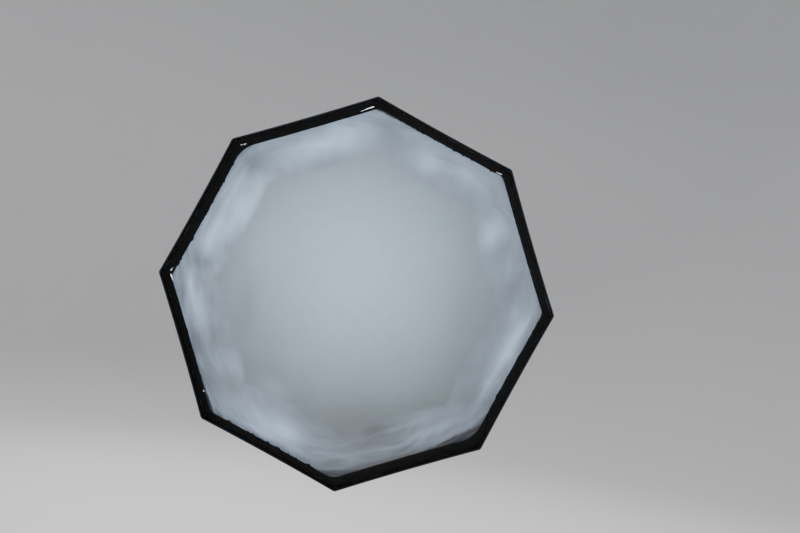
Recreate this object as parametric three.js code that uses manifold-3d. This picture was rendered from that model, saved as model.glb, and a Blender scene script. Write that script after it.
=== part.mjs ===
// An eight-sided studio softbox about 1.2 m across, with its lamp head and tilting stand bracket.
//
// The front faces -Y and +Z is up. The origin is the stop face at the top of the stand socket, where a
// stand's spigot ends, on the socket's axis. The optical axis runs along Y above it.
// Sizes are in millimetres and angles in degrees. "Forward" is towards -Y.

import * as THREE from "three";
import { mergeVertices } from "three/addons/utils/BufferGeometryUtils.js";
import Module from "manifold-3d";

const wasm = await Module();
wasm.setup();

// ---------------------------------------------------------------- driving dimensions

const SIDES = 8;
const STEP_ANGLE = 360 / SIDES;
const HALF_STEP = STEP_ANGLE / 2;

const AXIS_Z = 132; // the optical axis above the stand socket's stop face
const TILT_Z = 48; // the tilt pivot above the stop face

// The softbox's shape: each seam between two panels is a circular arc in a plane through the axis.
const RIM_R = 600; // the front rim's corners, from the optical axis
const ARC_START_R = 76; // where the arcs would meet the speedring
const ARC_START_Y = -74;
const START_ANGLE = 68; // between the arc and the optical axis at the speedring
const END_ANGLE = 32; // and at the front rim
const PANEL_START_R = 104; // the panels' rear edge
const FABRIC = 1.5; // a fabric panel's thickness
const SEAM_GAP = 0.3; // left between two neighbouring solids that touch on the real object

const LIP_DEPTH = 50; // the fabric lip in front of the rim
const LIP_THICK = 2;
const DIFFUSER_RECESS = 45; // from the lip's front edge back to the front diffuser
const HEM_WIDTH = 26; // the hook-and-loop border round the front diffuser
const HEM_THICK = 2;
const BAFFLE_R = 437; // the inner baffle's corners
const BAFFLE_BACK = 148; // from the front diffuser back to the inner baffle
const STRAP_WIDTH = 16;

const ROD_R = 2.4;
const ROD_INSET = 6.5; // the rods' centre line, inside the fabric's corner
const ROD_END_ANGLE = 33.9;
const TIP_R = 4.2;
const TIP_END_ANGLE = 32.9;

const RING_R = 78; // the speedring's outside
const RING_BORE = 56.6;
const RING_FRONT = -79.6;
const RING_BACK = -62.6;
const LUG_R = 5.5; // a rod socket on the speedring
const LUG_BORE = 3.1;
const LUG_LENGTH = 30;
const LUG_ROOT = 7; // how far the lug reaches back into the ring, behind the rod's end

const INSERT_BORE = 46; // the sleeve on the lamp head that the speedring turns on
const INSERT_R = 56;
const INSERT_FRONT = -84;
const INSERT_BACK = -58.3;
const FLANGE_R = 60;
const FLANGE_THICK = 3.7;
const CLIP_R = 61; // the ring that keeps the speedring on the sleeve
const CLIP_THICK = 2.5;

const BARREL_R = 52; // the lamp head's housing
const WALL = 3;
const BARREL_FRONT = -52;
const BARREL_BACK = 78;
const COVER_BACK = 94;
const COVER_CHAMFER = 5;
const PLATE_THICK = 5.7; // the plate at the housing's front
const PLATE_BORE = 24;
const VENTS = 8; // places for cooling slots round the housing
const VENT_ROWS = [30, 42, 54];
const VENT_HALF = 14;
const VENT_WIDTH = 4;

const SOCKET_R = 21; // the lamp holder
const SOCKET_BORE = 14.4;
const SOCKET_BACK = -20;
const SOCKET_FLANGE_R = 30;
const BULB_CAP_R = 13.4;
const BULB_CAP_FRONT = -56;
const BULB_RIM_R = 37; // where the bulb's body meets its globe
const BULB_RIM_Y = -120;
const GLOBE_R = 40;
const GLOBE_START = -30; // degrees from the globe's middle back to the body

const SPIGOT_BORE = 8.3; // for a 16 mm stand spigot
const SOCKET_DEPTH = 45;
const RECEIVER_R = 17;
const SHOULDER_Z = 20;
const TONGUE_HALF = 9; // half the tongue's thickness, along X
const TONGUE_R = 18.5;
const FORK_HALF = 17; // half the fork's width over its two ears
const EAR_R = 19;
const PIVOT_BORE = 4.4;
const PIVOT_R = 4;
const BOLT_HEAD_R = 7.5;
const SADDLE_Z = 71; // the underside of the saddle below the housing
const SADDLE_HALF = 24;
const LEVER_ANGLE = 45; // the locking lever's arm, forward and down
const LEVER_REACH = 52;
const LEVER_OUT = 29; // the arm's outer face, along X
const CLAMP_Z = -24; // the stand screw below the stop face

const FINE = 48; // segments round a large circle
const ROUND = 32;
const MEDIUM = 24;
const COARSE = 12;

// ---------------------------------------------------------------- small helpers

const radians = THREE.MathUtils.degToRad;
const cosine = (a) => Math.cos(radians(a));
const sine = (a) => Math.sin(radians(a));
const acosine = (c) => THREE.MathUtils.radToDeg(Math.acos(c));

const material = (color, roughness, metalness = 0) =>
  new THREE.MeshStandardMaterial({ color, roughness, metalness });

const blackNylon = material(0x0c0c0d, 0.8);
const whiteNylon = material(0xdfe4e8, 0.75);
const blackWebbing = material(0x101011, 0.9);
const springSteel = material(0x8f9296, 0.35, 1);
const blackPlastic = material(0x141415, 0.5);
const greyCasting = material(0x3a3b3d, 0.45, 0.6);
const brightAluminium = material(0xb9bcc0, 0.35, 1);
const porcelain = material(0xeeece6, 0.3);
const whitePlastic = material(0xe6e6e3, 0.45);
const opal = material(0xf4f4f0, 0.4);
const nickel = material(0xb0aea8, 0.3, 1);
const zincSteel = material(0x9a9ca0, 0.4, 1);

const add = (parent, name, geometry, look) => {
  const mesh = new THREE.Mesh(geometry, look);
  mesh.name = name;
  parent.add(mesh);
  return mesh;
};

// A body of revolution about Y, from [radius, y] points that start and end on the axis.
const turned = (points, segments = FINE) =>
  new THREE.LatheGeometry(points.map(([r, y]) => new THREE.Vector2(r, y)), segments);

// A tube or ring about Y with a rectangular section. With 8 segments it is the octagon's own ring.
const ring = (inner, outer, back, front, segments = FINE) =>
  turned([[inner, front], [outer, front], [outer, back], [inner, back], [inner, front]], segments);

// A disc or prism about Y.
const disc = (radius, back, front, segments = FINE) =>
  turned([[0, front], [radius, front], [radius, back], [0, back]], segments);

// A cylinder between x = low and x = high.
const alongX = (radius, low, high, y, z, segments = MEDIUM) =>
  new THREE.CylinderGeometry(radius, radius, high - low, segments)
    .rotateZ(Math.PI / 2)
    .translate((low + high) / 2, y, z);

// A cylinder along Y or Z, between low and high.
const alongY = (radius, low, high, x, z, segments = MEDIUM) =>
  new THREE.CylinderGeometry(radius, radius, high - low, segments).translate(x, (low + high) / 2, z);

const alongZ = (radius, low, high, segments = MEDIUM) =>
  new THREE.CylinderGeometry(radius, radius, high - low, segments)
    .rotateX(Math.PI / 2)
    .translate(0, 0, (low + high) / 2);

// A box given by its lowest and highest corners.
const block = (low, high) => {
  const size = high.map((h, i) => h - low[i]);
  return new THREE.BoxGeometry(...size).translate(...low.map((l, i) => l + size[i] / 2));
};

const solid = (geometry) => {
  const bare = geometry.clone();
  bare.deleteAttribute("normal");
  bare.deleteAttribute("uv");
  const merged = mergeVertices(bare, 1e-3);
  return new wasm.Manifold(
    new wasm.Mesh({
      numProp: 3,
      vertProperties: new Float32Array(merged.attributes.position.array),
      triVerts: new Uint32Array(merged.index.array),
    }),
  );
};

// Joins and cuts, in order: carve(body, { join: [...], cut: [...] }).
const carve = (body, { join = [], cut = [] }) => {
  let shape = solid(body);
  for (const geometry of join) {
    shape = shape.add(solid(geometry));
  }
  for (const geometry of cut) {
    shape = shape.subtract(solid(geometry));
  }
  const made = shape.getMesh();
  const geometry = new THREE.BufferGeometry();
  geometry.setAttribute("position", new THREE.BufferAttribute(made.vertProperties, 3));
  geometry.setIndex(new THREE.BufferAttribute(made.triVerts, 1));
  geometry.computeVertexNormals();
  return geometry;
};

// A closed body through a list of sections, each the same number of [x, y, z] corners in the same order.
const loft = (sections) => {
  const corners = sections[0].length;
  const at = (s, c) => s * corners + (c % corners);
  const index = [];
  for (let s = 0; s + 1 < sections.length; s++) {
    for (let c = 0; c < corners; c++) {
      index.push(at(s, c), at(s + 1, c), at(s, c + 1));
      index.push(at(s, c + 1), at(s + 1, c), at(s + 1, c + 1));
    }
  }
  const last = sections.length - 1;
  for (let c = 1; c + 1 < corners; c++) {
    index.push(at(0, 0), at(0, c), at(0, c + 1));
    index.push(at(last, 0), at(last, c + 1), at(last, c));
  }
  const geometry = new THREE.BufferGeometry();
  geometry.setAttribute("position", new THREE.Float32BufferAttribute(sections.flat(2), 3));
  geometry.setIndex(index);
  geometry.computeVertexNormals();
  return geometry;
};

// ---------------------------------------------------------------- the softbox's arcs

// The arc turns from START_ANGLE to END_ANGLE, so its chord makes their mean with the axis.
const CHORD_ANGLE = (START_ANGLE + END_ANGLE) / 2;
const CHORD = (RIM_R - ARC_START_R) / sine(CHORD_ANGLE);
const ARC_R = CHORD / (2 * sine((START_ANGLE - END_ANGLE) / 2));
const ARC_CENTRE_R = ARC_START_R - ARC_R * cosine(START_ANGLE);
const ARC_CENTRE_Y = ARC_START_Y - ARC_R * sine(START_ANGLE);

// A point [radius, y] on the arc where its tangent makes this angle with the axis.
const onArc = (angle, inset = 0) => [
  ARC_CENTRE_R + (ARC_R - inset) * cosine(angle),
  ARC_CENTRE_Y + (ARC_R - inset) * sine(angle),
];
const angleAtRadius = (radius) => acosine((radius - ARC_CENTRE_R) / ARC_R);
const arcRadiusAt = (y, inset) =>
  ARC_CENTRE_R + Math.sqrt((ARC_R - inset) ** 2 - (y - ARC_CENTRE_Y) ** 2);

const RIM_Y = onArc(END_ANGLE)[1];
const LIP_FRONT = RIM_Y - LIP_DEPTH;
const DIFFUSER_Y = LIP_FRONT + DIFFUSER_RECESS;
const BAFFLE_Y = DIFFUSER_Y + BAFFLE_BACK;

// ---------------------------------------------------------------- fabric parts

// One of the shell's eight panels: straight across between two seams, curved along them.
const panelGeometry = () => {
  const steps = 10;
  const first = angleAtRadius(PANEL_START_R);
  const sections = [];
  for (let i = 0; i <= steps; i++) {
    const angle = first + ((END_ANGLE - first) * i) / steps;
    const [outerR, outerY] = onArc(angle);
    const [innerR, innerY] = onArc(angle, FABRIC);
    const outerHalf = outerR * sine(HALF_STEP) - SEAM_GAP;
    const innerHalf = innerR * sine(HALF_STEP) - SEAM_GAP;
    const outerUp = outerR * cosine(HALF_STEP);
    const innerUp = innerR * cosine(HALF_STEP);
    sections.push([
      [-outerHalf, outerY, outerUp],
      [outerHalf, outerY, outerUp],
      [innerHalf, innerY, innerUp],
      [-innerHalf, innerY, innerUp],
    ]);
  }
  return loft(sections);
};

// The rear cuff closes the shell round the lamp head, behind the rod sockets.
const cuffGeometry = () =>
  turned(
    [[102.6, -85.2], [104.6, -85.2], [99, -58], [64, -44], [62.5, -46], [97, -60.2], [102.6, -85.2]],
    SIDES,
  );

// An elastic strap from a corner of the inner baffle out to the rod beside it.
const strapGeometry = () => {
  const rodSide = arcRadiusAt(BAFFLE_Y + FABRIC, ROD_INSET + ROD_R);
  return block(
    [-STRAP_WIDTH / 2, BAFFLE_Y, BAFFLE_R + SEAM_GAP],
    [STRAP_WIDTH / 2, BAFFLE_Y + FABRIC, rodSide - 2 * SEAM_GAP],
  );
};

// ---------------------------------------------------------------- rods and speedring

const rodGeometry = () => {
  const steps = 14;
  const sides = 8;
  const sections = [];
  for (let i = 0; i <= steps; i++) {
    const angle = START_ANGLE + ((ROD_END_ANGLE - START_ANGLE) * i) / steps;
    const section = [];
    for (let k = 0; k < sides; k++) {
      const turn = (360 * (k + 0.5)) / sides;
      const [r, y] = onArc(angle, ROD_INSET - ROD_R * cosine(turn));
      section.push([ROD_R * sine(turn), y, r]);
    }
    sections.push(section);
  }
  return loft(sections);
};

// The rounded cap on a rod's front end, pushed over its last few millimetres.
const tipGeometry = () => {
  const length = ((ROD_END_ANGLE - TIP_END_ANGLE) * Math.PI * ARC_R) / 180;
  const bore = ROD_R + 0.4;
  const overlap = 9;
  const cap = turned(
    [
      [0, 0.8], [bore, 0.8], [bore, -overlap], [TIP_R, -overlap], [TIP_R, length - 3],
      [TIP_R * 0.75, length - 0.8], [0, length],
    ],
    COARSE,
  );
  const angle = ROD_END_ANGLE;
  const [r, y] = onArc(angle, ROD_INSET);
  return cap.rotateX(radians(180 - angle)).translate(0, y, r);
};

const speedringGeometry = () => {
  const lugs = [];
  const bores = [];
  const [startR, startY] = onArc(START_ANGLE, ROD_INSET);
  for (let k = 0; k < SIDES; k++) {
    const place = (g) =>
      g
        .rotateX(radians(180 - START_ANGLE))
        .translate(0, startY, startR)
        .rotateY(radians(k * STEP_ANGLE));
    lugs.push(place(alongY(LUG_R, -LUG_ROOT, LUG_LENGTH - LUG_ROOT, 0, 0, COARSE)));
    bores.push(place(alongY(LUG_BORE, -0.6, LUG_LENGTH, 0, 0, COARSE)));
  }
  const screwHole = alongZ(3.5, RING_BORE - 4, RING_R + 4, COARSE)
    .translate(0, (RING_BACK + RING_FRONT) / 2, 0)
    .rotateY(radians(180 - HALF_STEP));
  return carve(ring(RING_BORE, RING_R, RING_BACK, RING_FRONT), {
    join: lugs,
    cut: [...bores, screwHole, alongY(RING_BORE, RING_FRONT - 20, RING_BACK + 20, 0, 0, FINE)],
  });
};

// A fluted plastic knob on a threaded shaft, along +Z from the shaft's tip at z = 0.
const knobGeometry = (shaftR, shaftLength, knobR, knobHeight, flutes) => {
  const cuts = [];
  for (let k = 0; k < flutes; k++) {
    const turn = (360 * k) / flutes;
    const groove = alongZ(knobR * 0.2, shaftLength - 1, shaftLength + knobHeight + 1, 8);
    cuts.push(groove.translate(knobR * 1.06 * cosine(turn), knobR * 1.06 * sine(turn), 0));
  }
  return carve(alongZ(shaftR, 0, shaftLength + 1, COARSE), {
    join: [alongZ(knobR, shaftLength, shaftLength + knobHeight, MEDIUM)],
    cut: cuts,
  });
};

// ---------------------------------------------------------------- lamp head

const barrelGeometry = () => {
  const slots = [];
  const slot = (y) =>
    block([-VENT_HALF, y, BARREL_R - 2 * WALL], [VENT_HALF, y + VENT_WIDTH, BARREL_R + WALL]);
  for (let k = 0; k < VENTS; k++) {
    const turn = (360 * (k + 0.5)) / VENTS;
    const overTheFork = Math.abs(turn - 180) < STEP_ANGLE;
    if (!overTheFork) {
      slots.push(...VENT_ROWS.map((y) => slot(y).rotateY(radians(turn))));
    }
  }
  return carve(ring(BARREL_R - WALL, BARREL_R, BARREL_BACK, BARREL_FRONT), { cut: slots });
};

// Places on the rear cover, from the optical axis.
const INLET = { x: -20, z: 20, halfX: 14, halfZ: 10, wall: 2, back: COVER_BACK + 1, floor: 78, front: 72 };
const SWITCH = { x: 20, z: 20, halfX: 10.5, halfZ: 7.5, wall: 1.6, back: COVER_BACK + 1.5, front: 76 };
const DIAL = { x: 0, z: -20, bore: 4, shaftR: 3.4, shaftFront: 84, radius: 11, front: COVER_BACK + 0.8 };
const DIAL_BACK = DIAL.front + 10.2;
const BEHIND = COVER_BACK + 16; // clear of everything on the cover, where cuts end

const rearCoverGeometry = () => {
  const opening = ({ x, z, halfX, halfZ }) =>
    block(
      [x - halfX - SEAM_GAP, BARREL_BACK + 2, z - halfZ - SEAM_GAP],
      [x + halfX + SEAM_GAP, BEHIND, z + halfZ + SEAM_GAP],
    );
  const inside = BARREL_R - WALL;
  const front = BARREL_BACK + SEAM_GAP;
  const shell = turned([
    [0, COVER_BACK - WALL],
    [inside - COVER_CHAMFER, COVER_BACK - WALL],
    [inside, COVER_BACK - WALL - COVER_CHAMFER],
    [inside, front],
    [BARREL_R, front],
    [BARREL_R, COVER_BACK - COVER_CHAMFER - 2],
    [BARREL_R - COVER_CHAMFER, COVER_BACK],
    [0, COVER_BACK],
  ]);
  const dialBore = alongY(DIAL.bore, BARREL_BACK + 2, BEHIND, DIAL.x, DIAL.z, COARSE);
  return carve(shell, { cut: [opening(INLET), opening(SWITCH), dialBore] });
};

// A block that is open to the rear, down to its floor.
const cup = ({ x, z, halfX, halfZ, wall, front, back, floor }) =>
  carve(block([x - halfX, front, z - halfZ], [x + halfX, back, z + halfZ]), {
    cut: [block([x - halfX + wall, floor, z - halfZ + wall], [x + halfX - wall, BEHIND, z + halfZ - wall])],
  });

// The mains inlet: a shroud open to the rear, with three flat pins inside it.
const inletGeometry = () => {
  const pinTip = COVER_BACK - 4;
  const pins = [[-7, -2.5], [0, 2.5], [7, -2.5]].map(([across, up]) => {
    const x = INLET.x + across;
    const z = INLET.z + up;
    return block([x - 1, INLET.floor - 1, z - 2], [x + 1, pinTip, z + 2]);
  });
  return carve(cup(INLET), { join: pins });
};

const bezelGeometry = () => cup({ ...SWITCH, floor: SWITCH.front + 4 });

// The rocker turns about Z, through its middle. It rests pressed in on one side.
const ROCKER_Y = 89;
const ROCKER_ANGLE = -7;
const rockerGeometry = () => {
  const halfLength = SWITCH.halfX - SWITCH.wall - 1;
  const halfHeight = SWITCH.halfZ - SWITCH.wall - 0.6;
  const [depth, crest, saddle] = [-4.5, 6.6, 4.8]; // along Y from the rocker's axis
  const outline = new THREE.Shape([
    new THREE.Vector2(-halfLength, 0),
    new THREE.Vector2(-halfLength + 0.8, depth),
    new THREE.Vector2(halfLength - 0.8, depth),
    new THREE.Vector2(halfLength, 0),
    new THREE.Vector2(halfLength - 0.4, crest),
    new THREE.Vector2(0, saddle),
    new THREE.Vector2(-halfLength + 0.4, crest),
  ]);
  return new THREE.ExtrudeGeometry(outline, { depth: 2 * halfHeight, bevelEnabled: false })
    .rotateZ(radians(ROCKER_ANGLE))
    .translate(SWITCH.x, ROCKER_Y, SWITCH.z - halfHeight);
};

// The knob on the dimmer's shaft, with a groove on its face as the pointer.
const dialGeometry = () => {
  const { x, z, radius } = DIAL;
  const pointer = block([x - 0.8, DIAL_BACK - 1.4, z + 3], [x + 0.8, DIAL_BACK + 1, z + radius + 1]);
  return carve(alongY(DIAL.shaftR, DIAL.shaftFront, DIAL.front + 3, x, z, COARSE), {
    join: [alongY(radius, DIAL.front, DIAL_BACK, x, z, MEDIUM)],
    cut: [pointer],
  });
};

const socketGeometry = () => {
  const flangeFront = BARREL_FRONT;
  const flangeBack = BARREL_FRONT + 5;
  return turned(
    [
      [SOCKET_BORE, flangeFront - 10],
      [SOCKET_R + 1, flangeFront - 10],
      [SOCKET_R + 1, flangeFront],
      [SOCKET_FLANGE_R, flangeFront],
      [SOCKET_FLANGE_R, flangeBack],
      [SOCKET_R, flangeBack],
      [SOCKET_R, SOCKET_BACK],
      [0, SOCKET_BACK],
      [0, SOCKET_BACK - 5],
      [SOCKET_BORE, SOCKET_BACK - 5],
      [SOCKET_BORE, flangeFront - 10],
    ],
    ROUND,
  );
};

// The bulb's tapered body, from the globe's rim back to its cap.
const bulbBodyGeometry = () => {
  const neckBack = BULB_CAP_FRONT - 0.4;
  const neckFront = BARREL_FRONT - 10.6;
  return turned(
    [
      [0, BULB_RIM_Y],
      [BULB_RIM_R, BULB_RIM_Y],
      [BULB_RIM_R, BULB_RIM_Y + 6],
      [BULB_RIM_R - 3, BULB_RIM_Y + 16],
      [24, -84],
      [17, -68],
      [16, neckFront],
      [BULB_CAP_R, neckFront],
      [BULB_CAP_R, neckBack],
      [0, neckBack],
    ],
    ROUND,
  );
};

const bulbGlobeGeometry = () => {
  const rows = 7;
  const back = BULB_RIM_Y - 0.4;
  const middle = BULB_RIM_Y - 26;
  const points = [[0, back], [BULB_RIM_R + 1, back]];
  for (let i = 0; i < rows; i++) {
    const up = GLOBE_START + ((90 - GLOBE_START) * i) / rows;
    points.push([GLOBE_R * cosine(up), middle - GLOBE_R * sine(up)]);
  }
  points.push([0, middle - GLOBE_R]);
  return turned(points.reverse(), ROUND);
};

// ---------------------------------------------------------------- stand bracket

// A saddle under the housing, with an ear on each side of the receiver's tongue.
const forkGeometry = () => {
  const saddle = block([-FORK_HALF, -SADDLE_HALF, SADDLE_Z], [FORK_HALF, SADDLE_HALF, SADDLE_Z + 21]);
  const slotHalf = TONGUE_HALF + 0.4;
  const ear = (low, high) => [
    alongX(EAR_R, low, high, 0, TILT_Z),
    block([low, -EAR_R, TILT_Z], [high, EAR_R, SADDLE_Z + 3]),
  ];
  return carve(saddle, {
    join: [...ear(-FORK_HALF, -slotHalf), ...ear(slotHalf, FORK_HALF)],
    cut: [
      alongY(BARREL_R + SEAM_GAP, -60, 60, 0, AXIS_Z, FINE),
      alongX(PIVOT_BORE, -30, 30, 0, TILT_Z),
      block([-slotHalf, -30, 0], [slotHalf, 30, SADDLE_Z]),
    ],
  });
};

const boltGeometry = () =>
  carve(alongX(PIVOT_R, -FORK_HALF - 1, LEVER_OUT, 0, TILT_Z, MEDIUM), {
    join: [alongX(BOLT_HEAD_R, -FORK_HALF - 6, -FORK_HALF - SEAM_GAP, 0, TILT_Z, 6)],
  });

// The locking lever: a hub on the pivot bolt and a tapered arm that points forward and down.
const leverGeometry = () => {
  const hubR = 9.5;
  const endR = 6.5;
  const lean = acosine((hubR - endR) / LEVER_REACH);
  const outline = new THREE.Shape()
    .absarc(0, 0, hubR, radians(lean), radians(360 - lean), false)
    .absarc(LEVER_REACH, 0, endR, radians(-lean), radians(lean), false);
  const arm = new THREE.ExtrudeGeometry(outline, { depth: 8, curveSegments: 10, bevelEnabled: false })
    .rotateX(Math.PI / 2)
    .rotateZ(-Math.PI / 2)
    .rotateX(radians(LEVER_ANGLE))
    .translate(LEVER_OUT, 0, TILT_Z);
  return carve(alongX(hubR - 1, FORK_HALF + SEAM_GAP, 24, 0, TILT_Z), {
    join: [arm],
    cut: [alongX(PIVOT_R + 0.3, 0, LEVER_OUT + 0.4, 0, TILT_Z)],
  });
};

const receiverGeometry = () =>
  carve(alongZ(RECEIVER_R, -SOCKET_DEPTH, SHOULDER_Z, ROUND), {
    join: [
      block([-TONGUE_HALF, -14, SHOULDER_Z - 1], [TONGUE_HALF, 14, TILT_Z]),
      alongX(TONGUE_R, -TONGUE_HALF, TONGUE_HALF, 0, TILT_Z),
      alongY(10, 8, 22, 0, CLAMP_Z),
    ],
    cut: [
      alongZ(SPIGOT_BORE, -SOCKET_DEPTH - 5, 0, MEDIUM),
      alongX(PIVOT_BORE, -30, 30, 0, TILT_Z),
      alongY(PIVOT_BORE, 0, 30, 0, CLAMP_Z, COARSE),
    ],
  });

// ---------------------------------------------------------------- assembly

const softboxWithHead = new THREE.Group();

const onAxis = new THREE.Group(); // its Y axis is the optical axis
onAxis.position.z = AXIS_Z;
softboxWithHead.add(onAxis);

for (let k = 0; k < SIDES; k++) {
  const seam = new THREE.Group();
  seam.rotation.y = radians(k * STEP_ANGLE);
  onAxis.add(seam);
  add(seam, `rod_${k + 1}`, rodGeometry(), springSteel);
  add(seam, `rod_tip_${k + 1}`, tipGeometry(), blackPlastic);
  add(seam, `baffle_strap_${k + 1}`, strapGeometry(), blackWebbing);

  const middle = new THREE.Group();
  middle.rotation.y = radians((k + 0.5) * STEP_ANGLE);
  onAxis.add(middle);
  add(middle, `shell_panel_${k + 1}`, panelGeometry(), blackNylon);
}

const HEM_OUTER = RIM_R - LIP_THICK - 2 * SEAM_GAP;
const HEM_INNER = HEM_OUTER - HEM_WIDTH / cosine(HALF_STEP);
const lip = ring(RIM_R - LIP_THICK, RIM_R, onArc(END_ANGLE, FABRIC)[1] - SEAM_GAP, LIP_FRONT, SIDES);
add(onAxis, "rim_lip", lip, blackNylon);
const hem = ring(HEM_INNER, HEM_OUTER, DIFFUSER_Y + HEM_THICK, DIFFUSER_Y, SIDES);
add(onAxis, "diffuser_hem", hem, blackWebbing);
const cloth = disc(HEM_INNER - SEAM_GAP, DIFFUSER_Y + FABRIC, DIFFUSER_Y, SIDES);
add(onAxis, "front_diffuser", cloth, whiteNylon);
add(onAxis, "inner_baffle", disc(BAFFLE_R, BAFFLE_Y + FABRIC, BAFFLE_Y, SIDES), whiteNylon);
add(onAxis, "rear_cuff", cuffGeometry(), blackNylon);

add(onAxis, "speedring", speedringGeometry(), greyCasting);
const ringScrew = knobGeometry(3, 21, 8.5, 9, 6);
ringScrew
  .translate(0, 0, RING_BORE + 0.6)
  .translate(0, (RING_BACK + RING_FRONT) / 2, 0)
  .rotateY(radians(180 - HALF_STEP));
add(onAxis, "ring_lock_screw", ringScrew, blackPlastic);

const insert = turned([
  [INSERT_BORE, INSERT_FRONT],
  [INSERT_R, INSERT_FRONT],
  [INSERT_R, INSERT_BACK - FLANGE_THICK],
  [FLANGE_R, INSERT_BACK - FLANGE_THICK],
  [FLANGE_R, INSERT_BACK],
  [INSERT_BORE, INSERT_BACK],
  [INSERT_BORE, INSERT_FRONT],
]);
add(onAxis, "mount_insert", insert, brightAluminium);
const clipBack = RING_FRONT - 0.4;
const clip = ring(INSERT_R + SEAM_GAP, CLIP_R, clipBack, clipBack - CLIP_THICK);
add(onAxis, "retaining_ring", clip, zincSteel);

const plateBack = BARREL_FRONT - SEAM_GAP;
add(onAxis, "front_plate", ring(PLATE_BORE, FLANGE_R, plateBack, plateBack - PLATE_THICK), greyCasting);
add(onAxis, "head_barrel", barrelGeometry(), blackPlastic);
add(onAxis, "rear_cover", rearCoverGeometry(), blackPlastic);
add(onAxis, "lamp_socket", socketGeometry(), porcelain);
add(onAxis, "bulb_base", disc(BULB_CAP_R, SOCKET_BACK - 8, BULB_CAP_FRONT, MEDIUM), nickel);
add(onAxis, "bulb_body", bulbBodyGeometry(), whitePlastic);
add(onAxis, "bulb_globe", bulbGlobeGeometry(), opal);
add(onAxis, "mains_inlet", inletGeometry(), blackPlastic);
add(onAxis, "switch_bezel", bezelGeometry(), blackPlastic);
add(onAxis, "switch_rocker", rockerGeometry(), blackPlastic);
add(onAxis, "dimmer_dial", dialGeometry(), blackPlastic);

add(softboxWithHead, "tilt_fork", forkGeometry(), greyCasting);
add(softboxWithHead, "tilt_bolt", boltGeometry(), zincSteel);
add(softboxWithHead, "tilt_lever", leverGeometry(), blackPlastic);
add(softboxWithHead, "stand_receiver", receiverGeometry(), greyCasting);
const standScrew = knobGeometry(3.9, 16, 14, 13, 8).rotateX(-Math.PI / 2).translate(0, 8.8, CLAMP_Z);
add(softboxWithHead, "stand_screw", standScrew, blackPlastic);

export default softboxWithHead;
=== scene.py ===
# An eight-sided studio softbox, lit from inside, with its lamp head and tilting stand bracket.
#
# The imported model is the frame: metres, +Z up, the front facing -Y, and the optical axis along Y.
# A place round the softbox is a corner number, 0 at the top and counting towards +X, and a share of the
# way to the next corner. Every cloth mesh carries its own cut's coordinates as the attribute "cloth":
# metres across, metres along, and metres to the nearest sewn edge.

import math
import random

import bpy
from mathutils import Matrix, Vector, noise


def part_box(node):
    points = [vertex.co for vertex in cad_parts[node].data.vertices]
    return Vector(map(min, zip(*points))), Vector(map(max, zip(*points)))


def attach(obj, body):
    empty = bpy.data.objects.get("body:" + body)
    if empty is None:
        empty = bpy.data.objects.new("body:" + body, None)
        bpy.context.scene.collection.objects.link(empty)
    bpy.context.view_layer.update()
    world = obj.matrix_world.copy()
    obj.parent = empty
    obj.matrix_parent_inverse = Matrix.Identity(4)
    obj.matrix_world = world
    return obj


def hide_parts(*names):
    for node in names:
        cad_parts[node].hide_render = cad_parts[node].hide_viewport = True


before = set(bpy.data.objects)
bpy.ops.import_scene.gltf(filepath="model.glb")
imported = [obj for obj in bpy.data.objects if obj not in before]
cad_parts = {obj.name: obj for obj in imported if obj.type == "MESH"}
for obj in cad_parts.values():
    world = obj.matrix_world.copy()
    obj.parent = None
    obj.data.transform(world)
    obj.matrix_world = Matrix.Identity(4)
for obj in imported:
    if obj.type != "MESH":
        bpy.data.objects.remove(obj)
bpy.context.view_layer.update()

# ---------------------------------------------------------------- values from the frame

MM = 0.001
SIDES = 8
SECTOR = math.tau / SIDES
HALF_SECTOR = SECTOR / 2

lip_low, lip_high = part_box("rim_lip")
hem_low, hem_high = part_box("diffuser_hem")
cloth_low, cloth_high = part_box("front_diffuser")
baffle_low, baffle_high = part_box("inner_baffle")
strap_low, strap_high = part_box("baffle_strap_1")
_, cover_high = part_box("rear_cover")
dial_low, dial_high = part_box("dimmer_dial")

AXIS_Z = (lip_low.z + lip_high.z) / 2
RIM_R = (lip_high.x - lip_low.x) / 2
LIP_FRONT = lip_low.y
HEM_R = (hem_high.x - hem_low.x) / 2
DIFFUSER_R = (cloth_high.x - cloth_low.x) / 2
DIFFUSER_APOTHEM = DIFFUSER_R * math.cos(HALF_SECTOR)
DIFFUSER_Y = cloth_low.y
BAFFLE_R = (baffle_high.x - baffle_low.x) / 2
BAFFLE_Y = baffle_low.y
COVER_BACK = cover_high.y
DIAL_X = (dial_low.x + dial_high.x) / 2
DIAL_Z = (dial_low.z + dial_high.z) / 2
DIAL_R = (dial_high.x - dial_low.x) / 2

# The shell's seams: arcs whose tangent turns from one angle with the axis to the other.
START_ANGLE = math.radians(68)
END_ANGLE = math.radians(32)
ARC_START = (76 * MM, -74 * MM)  # radius and y
CHORD = (RIM_R - ARC_START[0]) / math.sin((START_ANGLE + END_ANGLE) / 2)
ARC_R = CHORD / (2 * math.sin((START_ANGLE - END_ANGLE) / 2))
ARC_CENTRE = (
    ARC_START[0] - ARC_R * math.cos(START_ANGLE),
    ARC_START[1] - ARC_R * math.sin(START_ANGLE),
)
PANEL_START_R = 104 * MM
PANEL_START_ANGLE = math.acos((PANEL_START_R - ARC_CENTRE[0]) / ARC_R)
PANEL_LENGTH = ARC_R * (PANEL_START_ANGLE - END_ANGLE)
RIM_Y = ARC_CENTRE[1] + ARC_R * math.sin(END_ANGLE)

# ---------------------------------------------------------------- camera, floor and lights

LENS = 52.2
SENSOR = 36.0
CAMERA_AWAY = 3.5  # from the lip's front edge
CAMERA_RIGHT = 0.1315  # of the optical axis, along the camera's own right
CAMERA_UP = 0.083
CAMERA_ROLL = math.radians(6.4)  # anticlockwise, so that the softbox looks turned clockwise


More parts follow.
